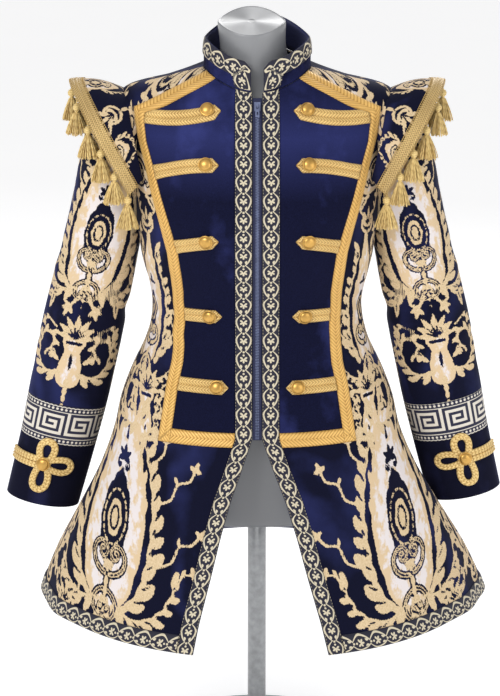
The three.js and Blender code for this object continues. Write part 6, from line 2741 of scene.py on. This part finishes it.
@dataclass
class CuffKnots:
    """A knot of three cord loops and a double bar on each cuff, with its button."""

    sleeve: SleeveSurface
    frogs: Frogs
    wardrobe: Wardrobe
    height: float = 421
    turn: float = math.radians(-79)
    reach: tuple[float, float, float] = (40, 37, 33)
    swell: float = 8
    part: float = 4
    half: float = 4.8
    bar: float = 62
    lift: float = 0.5
    ply: float = 3.4

    def on_cuff(self, side: Side, across: Array, up: Array, lift: Array | float) -> Array:
        """Find points over a cuff.

        Args:
            side: Which cuff.
            across: Millimetres from the knot's middle towards the outer side.
            up: Millimetres above the knot's middle.
            lift: Height above the cloth.

        Returns:
            The points.
        """
        rows, last = self.sleeve.stations, self.sleeve.last
        station = last - (self.height + up - rows[-1, 0]) / (rows[-3, 0] - rows[-1, 0]) * 2
        at = blend_rows(rows, station)
        return self.sleeve.point(side, station, self.turn + across / ((at[..., 2] + at[..., 4]) / 2), lift)

    def cord(self, side: Side, path: Array, base: float) -> tuple[Array, Faces, Array]:
        """A plaited cord along a path over the cuff.

        Args:
            side: Which cuff.
            path: Points across and up.
            base: Height of its underside.

        Returns:
            Points, faces and cloth coordinates.
        """
        heading = unit(np.gradient(path, axis=0))
        aside = np.stack([-heading[:, 1], heading[:, 0]], -1)
        across = np.array([-1, -0.9, -0.66, -0.4, -0.12, 0, 0.12, 0.4, 0.66, 0.9, 1])
        ridge = np.array([0.15, 0.6, 0.95, 1.0, 0.72, 0.6, 0.72, 1.0, 0.95, 0.6, 0.15])
        flat = path[:, None] + aside[:, None] * (across * self.half)[None, :, None]
        level = base + 0 * flat[..., 0]
        top = self.on_cuff(side, flat[..., 0], flat[..., 1], level + self.ply * ridge[None, :])
        foot = self.on_cuff(side, flat[..., 0], flat[..., 1], level)
        points, faces = loft(np.concatenate([top, foot[:, ::-1]], axis=1))
        cloth = cloth_map(run_of(path)[:, None], (across * self.half)[None, :])
        return points, faces, np.concatenate([cloth, cloth[:, ::-1]], axis=1).reshape(-1, 3)

    def build(self) -> list[Piece]:
        """Build both knots and their buttons.

        Returns:
            A knot and a button for each cuff.
        """
        pieces = []
        for side in Side:
            parts = []
            for k, lean in enumerate((-90, 180, 90)):
                t = np.linspace(-1, 1, 45)
                along = self.reach[k] * np.cos(t * math.pi / 2)
                aside = self.swell * np.sin(t * math.pi) + self.part * t
                c, s = math.cos(math.radians(lean)), math.sin(math.radians(lean))
                path = np.stack([along * c - aside * s, along * s + aside * c], -1)
                parts.append(self.cord(side, path, self.lift + 0.3 * k))
            for offset in (-self.half, self.half):
                x = np.linspace(-4, self.bar, 30)
                parts.append(self.cord(side, np.stack([x, np.full_like(x, offset)], -1), self.lift + 0.9))
            points, faces = joined([(p, f) for p, f, _ in parts])
            knot = make_mesh(f"cuff_knot_{side.tag}_cord", points, faces, [self.wardrobe.cord],
                             fields={"cloth": np.concatenate([c for _, _, c in parts])})
            settle(knot, "gold_braid", f"cuff_knot_{side.tag}")
            seat = self.on_cuff(side, np.array(0.0), np.array(0.0), self.lift + self.ply + 0.6)
            low = self.on_cuff(side, np.array(0.0), np.array(0.0), 0.0)
            pieces += [knot, self.frogs.button(f"cuff_button_{side.tag}", seat, unit(seat - low))]
        return pieces


@dataclass
class Zip:
    """The coil zip between the fronts, its tape, teeth, slider and pull tab."""

    body: BodySurface
    wardrobe: Wardrobe
    half: float = 6.64
    top: float = 990
    foot: float = 503
    slider: float = 978
    tooth: float = 2.3
    teeth_out: float = 1.15
    seam: float = 5.2
    back: float = -1.8
    cells: int = 60

    def line(self, x: float, top: float, foot: float, lift: float) -> tuple[Array, Array]:
        """A line down the zip with its outward direction.

        Args:
            x: Distance from the centre line.
            top: Upper end.
            foot: Lower end.
            lift: Height above the cloth's line.

        Returns:
            Points and directions.
        """
        places = np.linspace(self.body.place_at(top, 0.0), self.body.place_at(foot, 0.0), 160)
        points = self.body.point(0 * places, places, lift)
        ups = unit(self.body.point(0 * places, places, lift + 1) - points)
        points[:, 0] = x
        return points, ups

    def build(self) -> list[Piece]:
        """Build the tape and both rows of teeth, and dress the slider and the tab.

        Returns:
            The tape, the rows of teeth and the rows of stitches.
        """
        top, foot = self.body.place_at(self.top, 0.0), self.body.place_at(self.foot, 0.0)
        places = np.linspace(top, foot, STEP * self.cells + 1)
        columns = np.linspace(-self.half, self.half, 9)
        lifts = np.array([-0.6, -0.6, -0.6, -0.85, -0.95, -0.85, -0.6, -0.6, -0.6])
        outer = np.stack([self.body.point(0 * places, places, lift) for lift in lifts], axis=1)
        outer[..., 0] = columns
        line = self.body.point(0 * places[::STEP], places[::STEP], self.back)
        inner = np.stack([line] * 3, axis=1)
        inner[..., 0] = columns[::STEP]
        cloth = cloth_map(run_of(outer[:, 4])[:, None], columns[None, :])
        tape = shell("zip_tape_weave", outer, inner, STEP, (self.wardrobe.tape,) * 2, {"cloth": cloth})
        settle(tape, "zip_tape", "zip_tape")
        teeth = row_tree(Bead.TOOTH)
        pieces = [tape]
        for side, shift in ((Side.LEFT, 0.0), (Side.RIGHT, self.tooth / 2)):
            x = side.value * self.teeth_out
            points, ups = self.line(x, self.slider - 9 - shift, self.foot + 2, -0.45)
            row = grow(teeth, f"zip_teeth_{side.tag}", points, self.wardrobe.zip_metal, ups,
                       Spacing=self.tooth * MM, Long=0.0015, Wide=0.0034, Tall=0.0013)
            pieces.append(settle(row, "zip_metal"))
        stitches = row_tree(Bead.STITCH)
        for side in Side:
            points, ups = self.line(side.value * self.seam, self.top - 2, self.foot + 2, -0.5)
            row = grow(stitches, f"zip_stitches_{side.tag}", points, self.wardrobe.tape, ups,
                       Spacing=0.0042, Long=0.0026, Wide=0.0006, Tall=0.0004, Uneven=0.15)
            pieces.append(settle(row, "zip_tape"))
        for node in ("zip_slider", "zip_pull"):
            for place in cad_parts[node].material_slots:
                place.material = self.wardrobe.zip_metal
        return pieces


@dataclass
class DressForm:
    """The limbless form and its low stand."""

    wardrobe: Wardrobe
    rings: Array = field(default_factory=lambda: pairs([
        [1076, 1090, 1105, 47, -44, 3, 49, 2.0, -8], [1073, 1087, 1102, 49.5, -46.5, 3, 51.5, 2.0, -8],
        [1038, 1053, 1066, 48, -43, 5, 54, 2.0, -6], [1000, 1026, 1040, 55, -48, 6, 57, 2.0, -3],
        [966, 998, 1008, 92, -62, 8, 70, 2.0, 0], [940, 978, 984, 142, -74, 10, 84, 2.0, 0],
        [915, 952, 956, 174, -90, 12, 92, 2.0, 0], [880, 908, 918, 177, -103, 11, 97, 2.1, 0],
        [846, 860, 870, 170, -118, 8, 98, 2.2, 0], [805, 808, 812, 166, -127, 3, 94, 2.2, 0],
        [750, 750, 750, 159, -115, 0, 86, 2.2, 0], [705, 705, 705, 148, -102, 0, 77, 2.15, 0],
        [665, 665, 665, 144, -96, 0, 72, 2.1, 0], [620, 620, 620, 153, -102, 0, 85, 2.1, 0],
        [575, 575, 575, 168, -111, 0, 99, 2.1, 0], [520, 520, 520, 180, -117, 0, 108, 2.1, 0],
        [460, 460, 460, 180, -117, 0, 108, 2.1, 0], [400, 400, 400, 170, -110, 0, 100, 2.1, 0],
        [358, 358, 358, 160, -103, 0, 92, 2.1, 0], [350, 350, 350, 154, -97, 0, 86, 2.1, 0],
    ]))

    def torso(self) -> Piece:
        """The torso with its flat tilted neck cap.

        Returns:
            The torso.
        """
        places = np.concatenate([np.linspace(0, 1, 5), np.linspace(1, len(self.rings) - 1, 110)[1:]])
        turns = np.arange(96) * 2 * math.pi / 96
        ring = blend_rows(self.rings, places)
        seam = 0.5 * bump(turn_between(turns, 0.0), 0.03)[None, :] * (ring[:, 1] > 1010)[:, None]
        body = ring_point(ring[:, None, :], turns[None, :], seam)
        centre = body[0].mean(axis=0)
        cap = np.stack([centre + (body[0] - centre) * share for share in (0.15, 0.5, 0.85, 0.97)])
        points, faces = loft(np.concatenate([cap, body]))
        smooth = [len(face) == 4 for face in faces]
        piece = make_mesh("form_torso_shell", points, faces, [self.wardrobe.form], smooth=smooth)
        return settle(piece, "form_grey", "form_torso")

    def turned(self, name: str, profile: Sequence[tuple[float, float]]) -> Piece:
        """A turned part of the stand, named for the node that it replaces.

        Args:
            name: The CAD node's name.
            profile: Radius and height pairs.

        Returns:
            The part.
        """
        points, faces = loft(lathe(profile, 96))
        smooth = [len(face) == 4 for face in faces]
        piece = make_mesh(f"{name}_turned", points, faces, [self.wardrobe.stand], smooth=smooth)
        piece.data.set_sharp_from_angle(angle=math.radians(28))
        return settle(piece, "stand_grey", name)

    def build(self) -> list[Piece]:
        """Build the form and its stand.

        Returns:
            The torso, the post and the base.
        """
        post = [(0.1, -35.6), (14, -35.6), (14, 300), (14, 335), (15.5, 336), (46, 341.5), (46, 349.6),
                (0.1, 349.6)]
        base = [(0.1, -50), (183, -50), (184.6, -49.4), (185, -48), (185, -44), (184, -42.6), (175, -41),
                (120, -39.8), (30, -36.2), (0.1, -36)]
        return [self.torso(), self.turned("form_post", post), self.turned("form_base", base)]


@dataclass
class Studio:
    """The plain floor, the soft lights and the camera."""

    target: tuple[float, float, float] = (-0.0105, 0.0, 0.650)
    distance: float = 3.6
    tilt: float = math.radians(15.5)
    lens: float = 124.14
    floor_half: float = 90

    def light(self, name: str, place: Colour, power: float, size: float) -> None:
        """Add a soft square light aimed at the jacket.

        Args:
            name: Its name.
            place: Where it stands, in metres.
            power: Its watts.
            size: Its width.
        """
        lamp = bpy.data.lights.new(name, "AREA")
        lamp.energy, lamp.size = power, size
        holder = bpy.data.objects.new(name, lamp)
        holder.location = place
        holder.rotation_euler = (Vector(self.target) - Vector(place)).to_track_quat("-Z", "Y").to_euler()
        bpy.context.scene.collection.objects.link(holder)

    def build(self) -> None:
        """Build the camera, lights, world and floor."""
        scene = bpy.context.scene
        lens = bpy.data.cameras.new("camera")
        lens.sensor_width, lens.lens, lens.sensor_fit = 36.0, self.lens, "AUTO"
        camera = bpy.data.objects.new("camera", lens)
        away = Vector((0, -math.cos(self.tilt), math.sin(self.tilt))) * self.distance
        camera.location = Vector(self.target) + away
        camera.rotation_euler = (math.pi / 2 - self.tilt, 0, 0)
        scene.collection.objects.link(camera)
        scene.camera = camera
        self.light("key", (-1.7, -2.6, 2.6), 52, 1.4)
        self.light("fill", (2.4, -2.2, 1.5), 20, 2.0)
        self.light("rim", (0.6, 2.4, 2.4), 34, 1.6)
        world = bpy.data.worlds.new("studio")
        world.use_nodes = True
        sky, backdrop = Tree(world.node_tree), world.node_tree.nodes["Background"]
        sky.put(backdrop.inputs["Color"], (0.97, 0.97, 0.98))
        seen = sky.wire(sky.node("ShaderNodeLightPath").outputs["Is Camera Ray"])
        sky.put(backdrop.inputs["Strength"], seen * 0.36 + 0.62)
        scene.world = world
        scene.view_settings.view_transform = "Standard"
        mesh = bpy.data.meshes.new("floor")
        far = self.floor_half
        corners = [(x, y, -0.0005) for x, y in ((-far, -far), (far, -far), (far, far), (-far, far))]
        mesh.from_pydata(corners, [], [(0, 1, 2, 3)])
        art = Dressing("pale floor")
        grey = art.mix(art.noise(art.place(), 2.0, 2.0), (0.84, 0.84, 0.84), (0.87, 0.87, 0.87))
        mesh.materials.append(art.dressed(grey, 0.8, Emission_Color=(1.0, 1.0, 1.0), Emission_Strength=0.4))
        floor = bpy.data.objects.new("floor", mesh)
        scene.collection.objects.link(floor)


def main() -> None:
    """Build every sub-assembly in order and report each piece."""
    logging.basicConfig(level=logging.INFO, format="%(name)s: %(message)s")
    wardrobe = Wardrobe()
    body = BodySurface()
    sleeve = SleeveSurface(body)
    Studio().build()
    frogs = Frogs(body, wardrobe)
    parts = [DressForm(wardrobe), Panels(body, sleeve, wardrobe), Sleeves(sleeve, wardrobe),
             Facings(body, wardrobe), frogs, Collar(CollarSurface(body), wardrobe),
             Wings(WingSurface(), wardrobe), CuffKnots(sleeve, frogs, wardrobe), Zip(body, wardrobe)]
    total = 0
    for part in parts:
        for piece in part.build():
            faces = sum(len(p.vertices) - 2 for p in piece.data.polygons)
            total += faces
            LOG.info("%s: %d triangles", piece.name, faces)
    LOG.info("all pieces: %d triangles", total)


if __name__ == "__main__":
    main()
